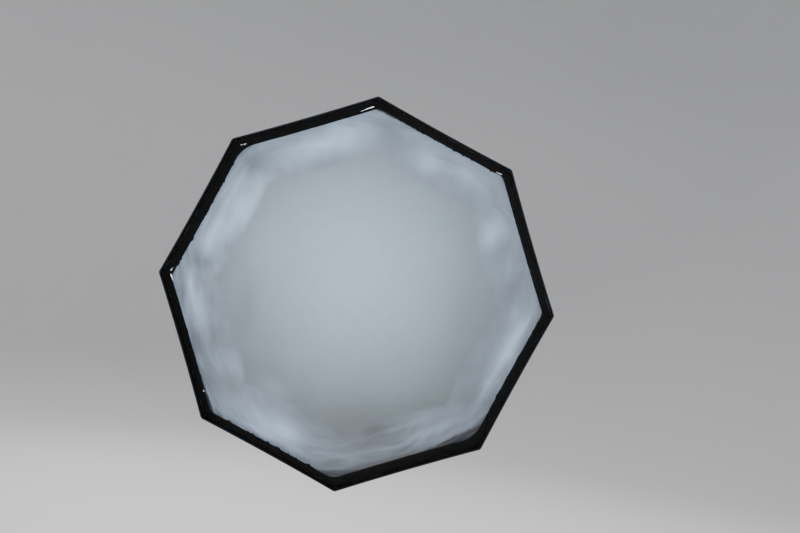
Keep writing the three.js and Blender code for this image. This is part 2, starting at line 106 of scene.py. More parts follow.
def make_camera():
    """In front of the softbox, square to it and rolled."""
    data = bpy.data.cameras.new("camera")
    data.lens = LENS
    data.sensor_width = SENSOR
    camera = bpy.data.objects.new("camera", data)
    bpy.context.scene.collection.objects.link(camera)
    right = Vector((math.cos(CAMERA_ROLL), 0, math.sin(CAMERA_ROLL)))
    up = Vector((-math.sin(CAMERA_ROLL), 0, math.cos(CAMERA_ROLL)))
    back = Vector((0, -1, 0))
    place = Vector((0, LIP_FRONT, AXIS_Z)) + right * CAMERA_RIGHT + up * CAMERA_UP
    place += back * CAMERA_AWAY
    camera.matrix_world = Matrix.Translation(place) @ Matrix((right, up, back)).transposed().to_4x4()
    bpy.context.scene.camera = camera


# ---------------------------------------------------------------- shader maths


class Field:
    """A socket of a finish's nodes. Python's operators on it add Math nodes."""

    def __init__(self, finish, socket):
        self.finish = finish
        self.socket = socket

    def maths(self, operation, *terms):
        return self.finish.node("Math", {"operation": operation}, dict(enumerate(terms)))

    def __add__(self, other):
        return self.maths("ADD", self, other)

    def __radd__(self, other):
        return self.maths("ADD", other, self)

    def __sub__(self, other):
        return self.maths("SUBTRACT", self, other)

    def __rsub__(self, other):
        return self.maths("SUBTRACT", other, self)

    def __mul__(self, other):
        return self.maths("MULTIPLY", self, other)

    def __rmul__(self, other):
        return self.maths("MULTIPLY", other, self)

    def __truediv__(self, other):
        return self.maths("DIVIDE", self, other)

    def __rtruediv__(self, other):
        return self.maths("DIVIDE", other, self)

    def __abs__(self):
        return self.maths("ABSOLUTE", self)

    def __lt__(self, other):
        return self.maths("LESS_THAN", self, other)

    def at_least(self, low):
        return self.maths("MAXIMUM", self, low)

    def sine(self):
        return self.maths("SINE", self)

    def fraction(self):
        return self.maths("FRACT", self)

    def rise(self, low, high):
        """0 below low, 1 above high, smooth between."""
        return self.finish.node(
            "MapRange",
            {"interpolation_type": "SMOOTHSTEP"},
            {"Value": self, "From Min": low, "From Max": high},
        )


class Finish:
    """One material being made: a Principled surface, and the nodes that feed it."""

    def __init__(self, name):
        self.material = bpy.data.materials.new(name)
        self.material.use_nodes = True
        self.tree = self.material.node_tree
        self.surface = self.tree.nodes["Principled BSDF"]

    def node(self, kind, settings=None, inputs=None, output=0):
        """Adds a node: its type, its settings, and the values or links of its sockets."""
        made = self.tree.nodes.new("ShaderNode" + kind)
        for key, value in (settings or {}).items():
            setattr(made, key, value)
        for key, value in (inputs or {}).items():
            self.feed(made.inputs[key], value)
        return Field(self, made.outputs[output])

    def feed(self, socket, value):
        if isinstance(value, Field):
            self.tree.links.new(value.socket, socket)
        elif hasattr(value, "__len__") and len(value) == 3 and socket.type == "RGBA":
            socket.default_value = (*value, 1)
        else:
            socket.default_value = value

    def place(self):
        """Where a point is on its piece, in metres, at rest."""
        return self.node("TexCoord", output="Object")

    def cloth(self):
        """Where a point is on its cloth's own cut."""
        return self.node("Attribute", {"attribute_name": "cloth"}, output="Vector")

    def attribute(self, name):
        return self.node("Attribute", {"attribute_name": name}, output="Fac")

    def split(self, vector):
        parts = self.node("SeparateXYZ", inputs={"Vector": vector}).socket.node
        return [Field(self, socket) for socket in parts.outputs]

    def noise(self, vector, scale, detail=3.0, roughness=0.55):
        return self.node(
            "TexNoise",
            inputs={"Vector": vector, "Scale": scale, "Detail": detail, "Roughness": roughness},
        )

    def stretched(self, vector, scale):
        return self.node("VectorMath", {"operation": "MULTIPLY"}, {0: vector, 1: scale})

    def mix(self, share, first, second):
        return self.node("Mix", {"data_type": "RGBA"}, {0: share, 6: first, 7: second}, output=2)

    def bump(self, height, distance, strength=1.0):
        return self.node("Bump", None, {"Height": height, "Distance": distance, "Strength": strength})

    def made(self, **inputs):
        """Feeds the surface's sockets, named with _ for a space, and gives the material."""
        for key, value in inputs.items():
            self.feed(self.surface.inputs[key.replace("_", " ")], value)
        return self.material


NYLON_PITCH = 0.9 * MM  # from one thread to the next
WHITE_PITCH = 0.8 * MM
RIB_PITCH = 1.1 * MM
STITCH_LENGTH = 3.2 * MM  # with the gap that follows it
STITCH_SHARE = 0.72
STITCH_WIDTH = 0.7 * MM


def weave(finish, cloth, pitch):
    """The height of a plain weave, 0 to 1, with one thread every pitch metres."""
    threads = finish.stretched(cloth, (math.pi / pitch, math.pi / pitch, 0))
    across, along, _ = finish.split(threads)
    over = finish.node(
        "TexChecker",
        inputs={"Vector": finish.stretched(cloth, (1 / pitch, 1 / pitch, 0)), "Scale": 1.0},
        output="Fac",
    )
    warp = abs(across.sine())
    weft = abs(along.sine())
    return over * warp + (1 - over) * weft


def stitches(edge, along, inset):
    """A mask of one line of stitches, this far in from the sewn edge."""
    on_line = abs(edge - inset) < STITCH_WIDTH / 2
    return on_line * ((along / STITCH_LENGTH).fraction() < STITCH_SHARE)


# ---------------------------------------------------------------- finishes


def black_nylon():
    """The shell's coated nylon: close weave, fine crumples from packing, a faint uneven shine."""
    finish = Finish("black_nylon")
    place = finish.place()
    cloudy = finish.noise(place, 7.0, 4.0)
    crumple = finish.node(
        "TexNoise",
        {"noise_type": "RIDGED_MULTIFRACTAL"},
        {"Vector": finish.stretched(place, (1.0, 0.7, 1.2)), "Scale": 16.0, "Detail": 3.0, "Gain": 1.4},
    )
    rubbed = finish.noise(place, 34.0, 5.0, 0.65).rise(0.52, 0.72)
    height = weave(finish, finish.cloth(), NYLON_PITCH) * 0.10 * MM + crumple * 0.55 * MM
    height = height + finish.noise(place, 45.0, 3.0) * 0.8 * MM
    colour = finish.mix(cloudy.rise(0.35, 0.75), (0.0052, 0.0052, 0.0058), (0.0100, 0.0100, 0.0110))
    colour = finish.mix(rubbed * 0.35, colour, (0.018, 0.018, 0.0195))
    return finish.made(
        Sheen_Weight=0.015,
        Sheen_Roughness=0.4,
        Specular_IOR_Level=0.22,
        Base_Color=colour,
        Roughness=0.50 + 0.18 * cloudy + 0.08 * rubbed,
        Normal=finish.bump(height, 1.0),
    )


def shaded_lip_nylon():
    """The lip's cloth: the shell's nylon, matt black on the inside as painted shade for the recessed lip, so
    that it throws no light back.
    """
    finish = Finish("shaded_lip_nylon")
    place = finish.place()
    cloudy = finish.noise(place, 9.0, 4.0)
    return finish.made(
        Specular_IOR_Level=0.15,
        # Painted shade: a darker copy of the shell's nylon colour for the lip's shaded inside.
        Base_Color=finish.mix(cloudy, (0.0022, 0.0022, 0.0024), (0.0042, 0.0042, 0.0046)),
        Roughness=0.85,
        Normal=finish.bump(weave(finish, finish.cloth(), NYLON_PITCH) * 0.1 * MM + cloudy * 1.5 * MM, 1.0),
    )


def silver_lining():
    """The shell's inside: aluminised cloth with a pebbled face."""
    finish = Finish("silver_lining")
    place = finish.place()
    pebbles = finish.node("TexVoronoi", {"feature": "SMOOTH_F1"}, {"Vector": place, "Scale": 260.0})
    broad = finish.noise(place, 12.0)
    return finish.made(
        Base_Color=finish.mix(broad, (0.60, 0.61, 0.63), (0.74, 0.75, 0.77)),
        Metallic=0.85,
        Roughness=0.30 + 0.15 * broad,
        Normal=finish.bump(pebbles * 0.4 * MM + broad * 2 * MM, 1.0),
    )


def binding_tape():
    """Black grosgrain: fine ribs across it, and a line of stitches near each side."""
    finish = Finish("binding_tape")
    _, along, edge = finish.split(finish.cloth())
    ribs = abs((along * (math.pi / RIB_PITCH)).sine())
    thread = stitches(edge, along, 2.2 * MM)
    worn = finish.noise(finish.place(), 60.0)
    colour = finish.mix(worn, (0.010, 0.010, 0.0105), (0.021, 0.021, 0.022))
    height = ribs * 0.12 * MM + thread * 0.35 * MM
    return finish.made(
        Base_Color=finish.mix(thread, colour, (0.055, 0.055, 0.058)),
        Roughness=0.62 + 0.2 * worn,
        Normal=finish.bump(height, 1.0),
    )


def loop_tape():
    """The hem's hook-and-loop: a short dense fuzz with a stitched edge."""
    finish = Finish("loop_tape")
    _, along, edge = finish.split(finish.cloth())
    place = finish.place()
    fuzz = finish.noise(place, 900.0, 2.0)
    patches = finish.noise(place, 24.0, 4.0)
    thread = stitches(edge, along, 3.0 * MM)
    colour = finish.mix(fuzz * patches, (0.004, 0.004, 0.0042), (0.018, 0.018, 0.019))
    return finish.made(
        Base_Color=finish.mix(thread, colour, (0.03, 0.03, 0.032)),
        Roughness=0.85,
        Normal=finish.bump(fuzz * 0.8 * MM + thread * 0.4 * MM, 1.0),
    )


ROOM_SHARE = 0.165  # of the glow, from the room's light on the cloth's front


def lit_diffuser():
    """White diffusion cloth with the lamp behind it.

    The attribute "glow" is the light that comes through, "beyond" is 1 outside the inner baffle, and
    "gather" is near 1 where the cloth is bunched under the hem and shades itself.
    """
    finish = Finish("lit_diffuser")
    place = finish.place()
    cloth = finish.cloth()
    glow = finish.attribute("glow")
    beyond = finish.attribute("beyond")
    gather = finish.attribute("gather")
    threads = weave(finish, cloth, WHITE_PITCH)
    weft = finish.noise(finish.stretched(place, (22.0, 1.0, 420.0)), 1.0, 3.0, 0.7)
    warp = finish.noise(finish.stretched(place, (420.0, 1.0, 22.0)), 1.0, 3.0, 0.7)
    mottle = finish.noise(place, 11.0, 4.0)
    fine = finish.noise(place, 70.0, 3.0)
    specks = 1 - 0.25 * finish.noise(place, 27.0, 1.0).rise(0.775, 0.79)
    cloudy = 0.05 * (mottle - 0.5) + 0.07 * (fine - 0.5)
    light = glow * specks * (0.86 + 0.11 * weft + 0.11 * warp + cloudy)
    tint = finish.mix(beyond, (0.715, 1.0, 1.25), (0.715, 1.0, 1.37))
    emission = finish.node(
        "VectorMath", {"operation": "SCALE"}, {0: tint, "Scale": (light - ROOM_SHARE).at_least(0.01)}
    )
    colour = finish.mix(mottle, (0.27, 0.285, 0.30), (0.30, 0.315, 0.33))
    return finish.made(
        Emission_Strength=1.0,
        # Painted shade: the base colour darkens where "gather" marks cloth bunched under the hem.
        Base_Color=finish.mix(gather, colour, (0.075, 0.083, 0.09)),
        Roughness=0.8,
        Emission_Color=emission,
        Normal=finish.bump(threads * 0.08 * MM + fine * 0.5 * MM, 1.0),
    )


def leak_light():
    """The lamp's direct light on the silver lining, seen through a slit at a corner."""
    finish = Finish("leak_light")
    speckle = finish.noise(finish.place(), 400.0, 2.0)
    colour = finish.mix(speckle.rise(0.35, 0.6), (0.55, 0.75, 1.0), (0.9, 0.97, 1.0))
    return finish.made(
        Base_Color=(0.6, 0.62, 0.65),
        Roughness=0.4,
        Emission_Color=colour,
        Emission_Strength=2.2,
    )


def baffle_cloth():
    """Thin white cloth inside, lit by the bulb close behind it."""
    finish = Finish("baffle_cloth")
    cloth = finish.cloth()
    place = finish.place()
    broad = finish.noise(place, 6.0, 3.0)
    return finish.made(
        Emission_Strength=0.8,
        Base_Color=finish.mix(broad, (0.66, 0.68, 0.69), (0.76, 0.78, 0.79)),
        Roughness=0.8,
        Emission_Color=finish.mix(broad, (0.62, 0.70, 0.76), (0.80, 0.88, 0.94)),
        Normal=finish.bump(weave(finish, cloth, WHITE_PITCH) * 0.08 * MM + broad * 2 * MM, 1.0),
    )


def moulded(name, dark, light, roughness, grain=0.25 * MM, grain_scale=650.0):
    """Moulded plastic: a fine spark-eroded grain, with lighter and smoother handled patches."""
    finish = Finish(name)
    place = finish.place()
    grain_height = finish.noise(place, grain_scale, 2.0)
    handled = finish.noise(place, 22.0, 4.0)
    return finish.made(
        Base_Color=finish.mix(handled.rise(0.3, 0.75), dark, light),
        Roughness=roughness + 0.16 * (handled - 0.5) + 0.08 * (grain_height - 0.5),
        Normal=finish.bump(grain_height * grain, 1.0, 0.6),
    )


def painted_casting():
    """Die-cast aluminium under charcoal powder coat: orange-peel texture, thin worn spots."""
    finish = Finish("painted_casting")
    place = finish.place()
    peel = finish.noise(place, 420.0, 2.0)
    cloudy = finish.noise(place, 30.0, 4.0)
    worn = finish.noise(place, 85.0, 5.0, 0.7).rise(0.66, 0.72)
    colour = finish.mix(cloudy, (0.028, 0.029, 0.031), (0.045, 0.046, 0.049))
    return finish.made(
        Base_Color=finish.mix(worn, colour, (0.11, 0.11, 0.112)),
        Metallic=0.15 + 0.5 * worn,
        Roughness=0.42 + 0.14 * cloudy,
        Normal=finish.bump(peel * 0.22 * MM, 1.0, 0.7),
    )


def bare_metal(name, dark, light, roughness):
    """Turned or plated metal: fine tool lines round the axis, a little staining."""
    finish = Finish(name)
    place = finish.place()
    lines = finish.noise(finish.stretched(place, (40.0, 3000.0, 40.0)), 1.0, 2.0)
    stains = finish.noise(place, 45.0, 4.0)
    return finish.made(
        Base_Color=finish.mix(stains, dark, light),
        Metallic=1.0,
        Roughness=roughness + 0.12 * lines + 0.12 * (stains - 0.5),
        Normal=finish.bump(lines * 0.04 * MM, 1.0),
    )


def porcelain():
    """The lamp holder's glazed ceramic."""
    finish = Finish("porcelain")
    place = finish.place()
    specks = finish.noise(place, 300.0, 3.0).rise(0.68, 0.74)
    broad = finish.noise(place, 20.0)
    colour = finish.mix(broad, (0.74, 0.72, 0.67), (0.80, 0.78, 0.74))
    return finish.made(
        Base_Color=finish.mix(specks * 0.5, colour, (0.35, 0.30, 0.24)),
        Roughness=0.18 + 0.12 * broad,
        Normal=finish.bump(broad * 0.3 * MM, 1.0),
    )


def opal_globe():
    """The bulb's frosted globe, lit."""
    finish = Finish("opal_globe")
    place = finish.place()
    broad = finish.noise(place, 18.0)
    return finish.made(
        Emission_Strength=3.0,
        Base_Color=finish.mix(broad, (0.84, 0.85, 0.86), (0.90, 0.91, 0.92)),
        Roughness=0.45,
        Emission_Color=finish.mix(broad, (0.86, 0.94, 1.0), (0.94, 0.98, 1.0)),
    )


def studio_grey():
    """The backdrop's matt paint."""
    finish = Finish("studio_grey")
    soft = finish.noise(finish.place(), 0.9, 3.0)
    colour = (0.78, 0.78, 0.785)
    darker = tuple(part * 0.97 for part in colour)
    return finish.made(Base_Color=finish.mix(soft, darker, colour), Roughness=0.9)


# ---------------------------------------------------------------- mesh helpers


def piece(name, points, faces, finishes, body=None, cloth=None, extra=None, smooth=True):
    """A mesh object. cloth is the "cloth" attribute, and extra maps other attributes to their numbers."""
    mesh = bpy.data.meshes.new(name)
    mesh.from_pydata([tuple(p) for p in points], [], faces)
    mesh.validate()
    for finish in finishes:
        mesh.materials.append(finish)
    if cloth is not None:
        made = mesh.attributes.new("cloth", "FLOAT_VECTOR", "POINT")
        made.data.foreach_set("vector", [c for row in cloth for c in row])
    for key, values in (extra or {}).items():
        made = mesh.attributes.new(key, "FLOAT", "POINT")
        made.data.foreach_set("value", values)
    for polygon in mesh.polygons:
        polygon.use_smooth = smooth
    made = bpy.data.objects.new(name, mesh)
    bpy.context.scene.collection.objects.link(made)
    if body:
        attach(made, body)
    return made


def grid_faces(rows, columns, wrap=False, flip=False):
    """Quads of a grid whose points come row by row. wrap joins the last column to the first."""
    faces = []
    for i in range(rows - 1):
        for j in range(columns if wrap else columns - 1):
            k = (j + 1) % columns
            quad = (i * columns + j, i * columns + k, (i + 1) * columns + k, (i + 1) * columns + j)
            faces.append(quad[::-1] if flip else quad)
    return faces


def shifted(faces, first):
    """The same faces, for points that start at number first."""
    return [tuple(first + point for point in face) for face in faces]


def disc_faces(rings, count):
    """A fan from point 0 to the first ring of count points, then the quads between the rings."""
    fan = [(0, 1 + (j + 1) % count, 1 + j) for j in range(count)]
    return fan + shifted(grid_faces(rings, count, wrap=True), 1)


def thicken(made, thickness, offset=-1.0, inside_finish=0):
    """Gives a sheet its thickness. inside_finish counts on from the outside's own finish."""
    modifier = made.modifiers.new("thickness", "SOLIDIFY")
    modifier.thickness = thickness
    modifier.offset = offset
    modifier.material_offset = inside_finish
    modifier.use_even_offset = False


def round_edges(made, width):
    edges = made.modifiers.new("edges", "BEVEL")
    edges.width = width
    edges.segments = 2
    edges.limit_method = "ANGLE"
    edges.angle_limit = math.radians(35)
    edges.harden_normals = True


def on_arc(angle):
    """(radius, y) on a seam's arc."""
    return (
        ARC_CENTRE[0] + ARC_R * math.cos(angle),
        ARC_CENTRE[1] + ARC_R * math.sin(angle),
    )


def round_axis(radius, turn, y):
    """A point at this radius from the optical axis, turned from the top towards +X."""
    return Vector((radius * math.sin(turn), y, AXIS_Z + radius * math.cos(turn)))


def facing_of(edge):
    """The direction that an edge's middle faces, from the top towards +X."""
    return (edge + 0.5) * SECTOR


def eight_sided(apothems, fillets, edge_steps, corner_steps, bow):
    """Points round an octagon with rounded corners: (x, up, edge number, share along it).

    apothems holds each edge's distance from the axis, and fillets each corner's radius. They start just
    before the top corner. bow pulls the middle of each side inwards.
    """
    arcs = []
    for k in range(SIDES):
        before = facing_of(k - 1)
        after = facing_of(k)
        low = apothems[k - 1] - fillets[k]
        high = apothems[k] - fillets[k]
        x = (low * math.cos(after) - high * math.cos(before)) / math.sin(before - after)
        up = (high * math.sin(before) - low * math.sin(after)) / math.sin(before - after)
        turns = [before + SECTOR * i / corner_steps for i in range(corner_steps + 1)]
        arcs.append([(x + fillets[k] * math.sin(a), up + fillets[k] * math.cos(a)) for a in turns])
    points = []
    for k, arc in enumerate(arcs):
        for i, (x, up) in enumerate(arc):
            on_next = i * 2 >= corner_steps
            points.append((x, up, k if on_next else (k - 1) % SIDES, 0.0 if on_next else 1.0))
        start = arc[-1]
        end = arcs[(k + 1) % SIDES][0]
        for i in range(1, edge_steps):
            share = i / edge_steps
            pull = bow * 4 * share * (1 - share)
            x = start[0] + (end[0] - start[0]) * share - pull * math.sin(facing_of(k))
            up = start[1] + (end[1] - start[1]) * share - pull * math.cos(facing_of(k))
            points.append((x, up, k, share))
    return points


def octagon(radius, fillet, edge_steps, corner_steps, bow):
    """The same, regular. radius is out to its sharp corners."""
    apothems = [radius * math.cos(HALF_SECTOR)] * SIDES
    return eight_sided(apothems, [fillet] * SIDES, edge_steps, corner_steps, bow)


def lengths_round(outline):
    """The distance round an outline at each of its points."""
    total = 0.0
    found = []
    for i, point in enumerate(outline):
        if i:
            before = outline[i - 1]
            total += math.hypot(point[0] - before[0], point[1] - before[1])
        found.append(total)
    return found


def near_corner(share):
    """How far a share of an edge is from the nearer of its ends."""
    return min(share, 1 - share)


def wobble(x, y, z=0.0):
    """Smooth unevenness, about -1 to 1, the same each run."""
    return noise.noise(Vector((x, y, z)))


def smooth_rise(value, low, high):
    """0 below low, 1 above high, smooth between."""
    share = min(1.0, max(0.0, (value - low) / (high - low)))
    return share * share * (3 - 2 * share)


# ---------------------------------------------------------------- the shell

SEAM_STEPS = (0, 0.008, 0.02, 0.035)
MIDDLE_STEPS = tuple(0.05 + 0.9 * i / 34 for i in range(35))
ACROSS = SEAM_STEPS + MIDDLE_STEPS + tuple(1 - share for share in SEAM_STEPS[:0:-1])  # seam to seam
ARC_STEPS = 110
PANEL_SAG = 15 * MM
CREASES = 11  # on each panel, where it was folded to pack it
CREASE_SEED = 41


def packing_creases():
    """Straight creases on each panel: both ends in metres across and along, their height and width."""
    chance = random.Random(CREASE_SEED)
    creases = []
    for _ in range(SIDES):
        lines = []
        for _ in range(CREASES):
            along = PANEL_LENGTH * chance.uniform(0.12, 0.97)
            half_width = 0.21 * along / PANEL_LENGTH
            start = Vector((chance.uniform(-half_width, half_width), along))
            turn = chance.gauss(math.pi / 2, 0.55) if chance.random() < 0.6 else chance.uniform(0, math.pi)
            reach = chance.uniform(0.06, 0.24)
            end = start + Vector((math.cos(turn), math.sin(turn))) * reach
            height = chance.choice((-1, 1)) * chance.uniform(0.8, 2.2) * MM
            lines.append((start, end, height, chance.uniform(7, 14) * MM))
        creases.append(lines)
    return creases


PACKING_CREASES = packing_creases()


def crease_height(panel, across, along):
    """The creases' height here, sharp along each line and fading off its ends."""
    point = Vector((across, along))
    total = 0.0
    for start, end, height, width in PACKING_CREASES[panel]:
        line = end - start
        run = min(1, max(0, (point - start).dot(line) / line.length_squared))
        away = (point - start - line * run).length
        if away < 5 * width:
            fade = math.sin(math.pi * min(0.97, max(0.03, run)))
            total += height * fade * math.exp(-away / width)
    return total


def panel_width(angle):
    """Across a panel, from seam to seam, at this place on the seams' arc."""
    radius, _ = on_arc(angle)
    return 2 * radius * math.sin(HALF_SECTOR)


def along_panel(angle):
    """Along the arc from the panel's rear edge, in metres."""
    return ARC_R * (PANEL_START_ANGLE - angle)


def panel_angle(step, steps):
    """The place on the arc after this many equal steps from the panel's rear edge to the rim."""
    return PANEL_START_ANGLE + (END_ANGLE - PANEL_START_ANGLE) * step / steps


def shell_point(panel, share, angle, lift=0.0):
    """A point on the shell, share of the way across a panel. lift is outwards from the cloth."""
    radius, y = on_arc(angle)
    left = round_axis(radius, panel * SECTOR, y)
    right = round_axis(radius, (panel + 1) * SECTOR, y)
    width = (right - left).length
    along = along_panel(angle)
    across = (share - 0.5) * width
    seam = near_corner(share) * width
    crown = 4 * share * (1 - share)
    travel = along / PANEL_LENGTH
    sag = PANEL_SAG * crown * (0.2 + 0.8 * math.sin(math.pi * travel) ** 0.8)
    folds = 3.2 * MM * wobble(across * 8, along * 4.5, panel * 7.3) * crown
    pulls = 1.3 * MM * wobble(across * 34, along * 7, panel * 3.1 + 40)
    pulls *= 0.25 + math.exp(-seam / (40 * MM))
    gathers = 1.6 * MM * wobble(across * 55, along * 9, panel * 5.7 + 80)
    gathers *= math.exp(-(PANEL_LENGTH - along) / (35 * MM)) + math.exp(-along / (45 * MM))
    fan = 2.6 * MM * wobble(math.atan2(across, along + 0.05) * 16, along * 1.5, panel * 6.1 + 60)
    fan *= math.exp(-((travel - 0.25) ** 2) / 0.06) * crown
    creases = crease_height(panel, across, along) * min(1, seam / (20 * MM))
    held = 1 - math.exp(-seam / (9 * MM))
    facing = facing_of(panel)
    out = Vector((math.cos(angle) * math.sin(facing), math.sin(angle), math.cos(angle) * math.cos(facing)))
    point = left.lerp(right, share)
    return point + out * (lift - sag + (folds + pulls + gathers + fan + creases) * held)


def shell_cloth(share, angle, panel):
    """The same point on the panel's own cut."""
    width = panel_width(angle)
    return (
        (share - 0.5) * width + panel * 0.5,
        along_panel(angle),
        near_corner(share) * width,
    )


def beside_seam(seam, offset, half, angle, lift):
    """A point on the shell beside a seam, offset from -1 to 1 across a strip that is twice half wide."""
    share = abs(offset) * half / panel_width(angle)
    if offset < 0:
        return shell_point((seam - 1) % SIDES, 1 - share, angle, lift)
    return shell_point(seam, share, angle, lift)


def make_shell(finishes):
    """Eight panels sewn into one sheet. Gives it with its flat size and flat area."""
    points = []
    cloth = []
    columns = SIDES * len(ACROSS)
    for i in range(ARC_STEPS + 1):
        angle = panel_angle(i, ARC_STEPS)
        for panel in range(SIDES):
            for share in ACROSS:
                points.append(shell_point(panel, share, angle))
                cloth.append(shell_cloth(share, angle, panel))
    faces = grid_faces(ARC_STEPS + 1, columns, wrap=True, flip=True)
    shell = piece("shell", points, faces, finishes, "softbox", cloth)
    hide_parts(*[f"shell_panel_{k + 1}" for k in range(SIDES)])
    thicken(shell, 1.2 * MM, inside_finish=1)
    widest = 2 * RIM_R * math.sin(HALF_SECTOR)
    return shell, (SIDES * widest, PANEL_LENGTH), shell_area()


def shell_area():
    """Eight curved trapezoids: the width across a panel, summed along the arc."""
    steps = 200
    step = (PANEL_START_ANGLE - END_ANGLE) / steps
    total = 0.0
    for i in range(steps):
        total += panel_width(END_ANGLE + (i + 0.5) * step) * ARC_R * step
    return SIDES * total


def make_seam_bindings(finish):
    """A stitched tape over each seam, folded to either side of it."""
    half = 7.5 * MM
    offsets = (-1, -0.97, -0.6, -0.25, 0, 0.25, 0.6, 0.97, 1)
    steps = 130
    points = []
    cloth = []
    faces = []
    for k in range(SIDES):
        first = len(points)
        for i in range(steps + 1):
            angle = panel_angle(i, steps)
            along = along_panel(angle)
            for offset in offsets:
                lift = 0.2 * MM if abs(offset) == 1 else (1.1 + 0.5 * (1 - abs(offset))) * MM
                lift += 0.25 * MM * wobble(offset * 2, along * 90, k * 9.0)
                points.append(beside_seam(k, offset, half, angle, lift))
                cloth.append((offset * half, along, (1 - abs(offset)) * half))
        faces += shifted(grid_faces(steps + 1, len(offsets), flip=True), first)
    made = piece("seam_bindings", points, faces, [finish], "softbox", cloth)
    thicken(made, 0.6 * MM)
    return made


def make_corner_patches(finish):
    """A reinforcing patch over each rod's front end, widest at the rim."""
    length = 105 * MM
    narrow = 9 * MM  # half the width at its rear end
    flare = 34 * MM  # how much more that is at the rim
    rows = 26
    columns = 21
    points = []
    cloth = []
    faces = []
    for k in range(SIDES):
        first = len(points)
        for i in range(rows + 1):
            travel = i / rows  # from the rim backwards
            angle = END_ANGLE + travel * length / ARC_R
            half = narrow + flare * (1 - travel) ** 0.8
            for j in range(columns):
                offset = 2 * j / (columns - 1) - 1
                edge = min((1 - abs(offset)) * half, (1 - travel) * length, travel * length)
                lift = 0.3 * MM + 2.1 * MM * min(1, edge / (3 * MM))
                lift += 0.5 * MM * wobble(offset * 5, travel * 12, k * 4.0)
                points.append(beside_seam(k, offset, half, angle, lift))
                cloth.append((offset * half, travel * length, edge))
        faces += shifted(grid_faces(rows + 1, columns), first)
    made = piece("corner_patches", points, faces, [finish], "softbox", cloth)
    thicken(made, 0.8 * MM)
    return made


# ---------------------------------------------------------------- the lip, hem and diffuser

EDGE_STEPS = 64
CORNER_STEPS = 10
LIP_BOW = 2.5 * MM
UNSEWN = 20 * MM  # far enough from a sewn edge to have no stitches


def lip_outline(travel):
    """The lip's outline, travel from 0 at the rim seam to 1 at its front edge."""
    return octagon(
        RIM_R - 0.4 * MM,
        (4 + 10 * travel) * MM,
        EDGE_STEPS,
        CORNER_STEPS,
        (0.2 * PANEL_SAG) * (1 - travel) + LIP_BOW * travel,
    )


def make_lip(finishes):
    """The band of cloth in front of the rim, rippled a little between its seams."""
    rows = 12
    points = []
    cloth = []
    for i in range(rows + 1):
        travel = i / rows
        y = RIM_Y + (LIP_FRONT - RIM_Y) * travel
        outline = lip_outline(travel)
        for (x, up, edge, share), along in zip(outline, lengths_round(outline)):
            facing = facing_of(edge)
            ripple = wobble(edge * 5 + share * 9, travel * 2, 3.0) * 1.4 * MM
            ripple += wobble(edge * 5 + share * 40, travel * 3, 9.0) * 0.5 * MM
            ripple *= min(1, near_corner(share) / 0.04) * (0.35 + 0.65 * math.sin(math.pi * travel))
            points.append((x - ripple * math.sin(facing), y, AXIS_Z + up - ripple * math.cos(facing)))
            cloth.append((y, along, near_corner(travel) * abs(LIP_FRONT - RIM_Y)))
    faces = grid_faces(rows + 1, len(lip_outline(0)), wrap=True, flip=True)
    lip = piece("lip", points, faces, finishes, "softbox", cloth)
    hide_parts("rim_lip")
    thicken(lip, 1.6 * MM, inside_finish=1)
    around = lengths_round(lip_outline(0.5))[-1]
    abs(LIP_FRONT - RIM_Y)


def make_rim_piping(finish):
    """The corded edge sewn round the lip's front."""
    sides = 10
    radius = 2.3 * MM
    outline = lip_outline(1)
    points = []
    cloth = []
    for j in range(sides + 1):
        turn = math.tau * j / sides
        for (x, up, edge, share), along in zip(outline, lengths_round(outline)):
            length = math.hypot(x, up)
            swell = radius * (1 + 0.10 * wobble(edge * 7 + share * 60, 0.0, 21.0))
            out = swell * math.cos(turn) - 0.9 * MM
            y = LIP_FRONT + 1.6 * MM - swell * math.sin(turn)
            points.append((x + out * x / length, y, AXIS_Z + up + out * up / length))
            cloth.append((radius * turn, along, UNSEWN))
    faces = grid_faces(sides + 1, len(outline), wrap=True, flip=True)
    piece("rim_piping", points, faces, [finish], "softbox", cloth)


# The hem as it was sewn, edge by edge: how far it reaches over the diffuser past its true line, and how
# much its inner edge is ruffled. Corner by corner: the radius of the diffuser's visible corner.
HEM_REACH = tuple(reach * MM for reach in (-2.0, -1.5, -0.5, 4.5, -6.0, -4.5, 3.5, 0.5))
HEM_RUFFLE = (1.1, 0.25, 0.6, 0.12, 1.1, 0.5, 1.15, 0.1)
CORNER_ROUND = tuple(radius * MM for radius in (40, 30, 36, 96, 56, 40, 18, 96))


def ruffle(edge, share):
    """How far the hem's inner edge strays over the diffuser here."""
    strength = HEM_RUFFLE[edge] * min(1, near_corner(share) / 0.05)
    along = edge * 3.7 + share * 13
    broad = max(0.0, wobble(along * 1.7, 0.3, 5.0) - 0.15)
    notch = max(0.0, wobble(along * 4.3, 0.7, 15.0) - 0.22) ** 0.6
    return strength * (7.0 * broad + 4.2 * notch) * MM


def hem_line(edge_steps):
    """The hem's inner edge, without its ruffles."""
    apothems = [DIFFUSER_APOTHEM - reach for reach in HEM_REACH]
    return eight_sided(apothems, CORNER_ROUND, edge_steps, CORNER_STEPS, 1.5 * MM)


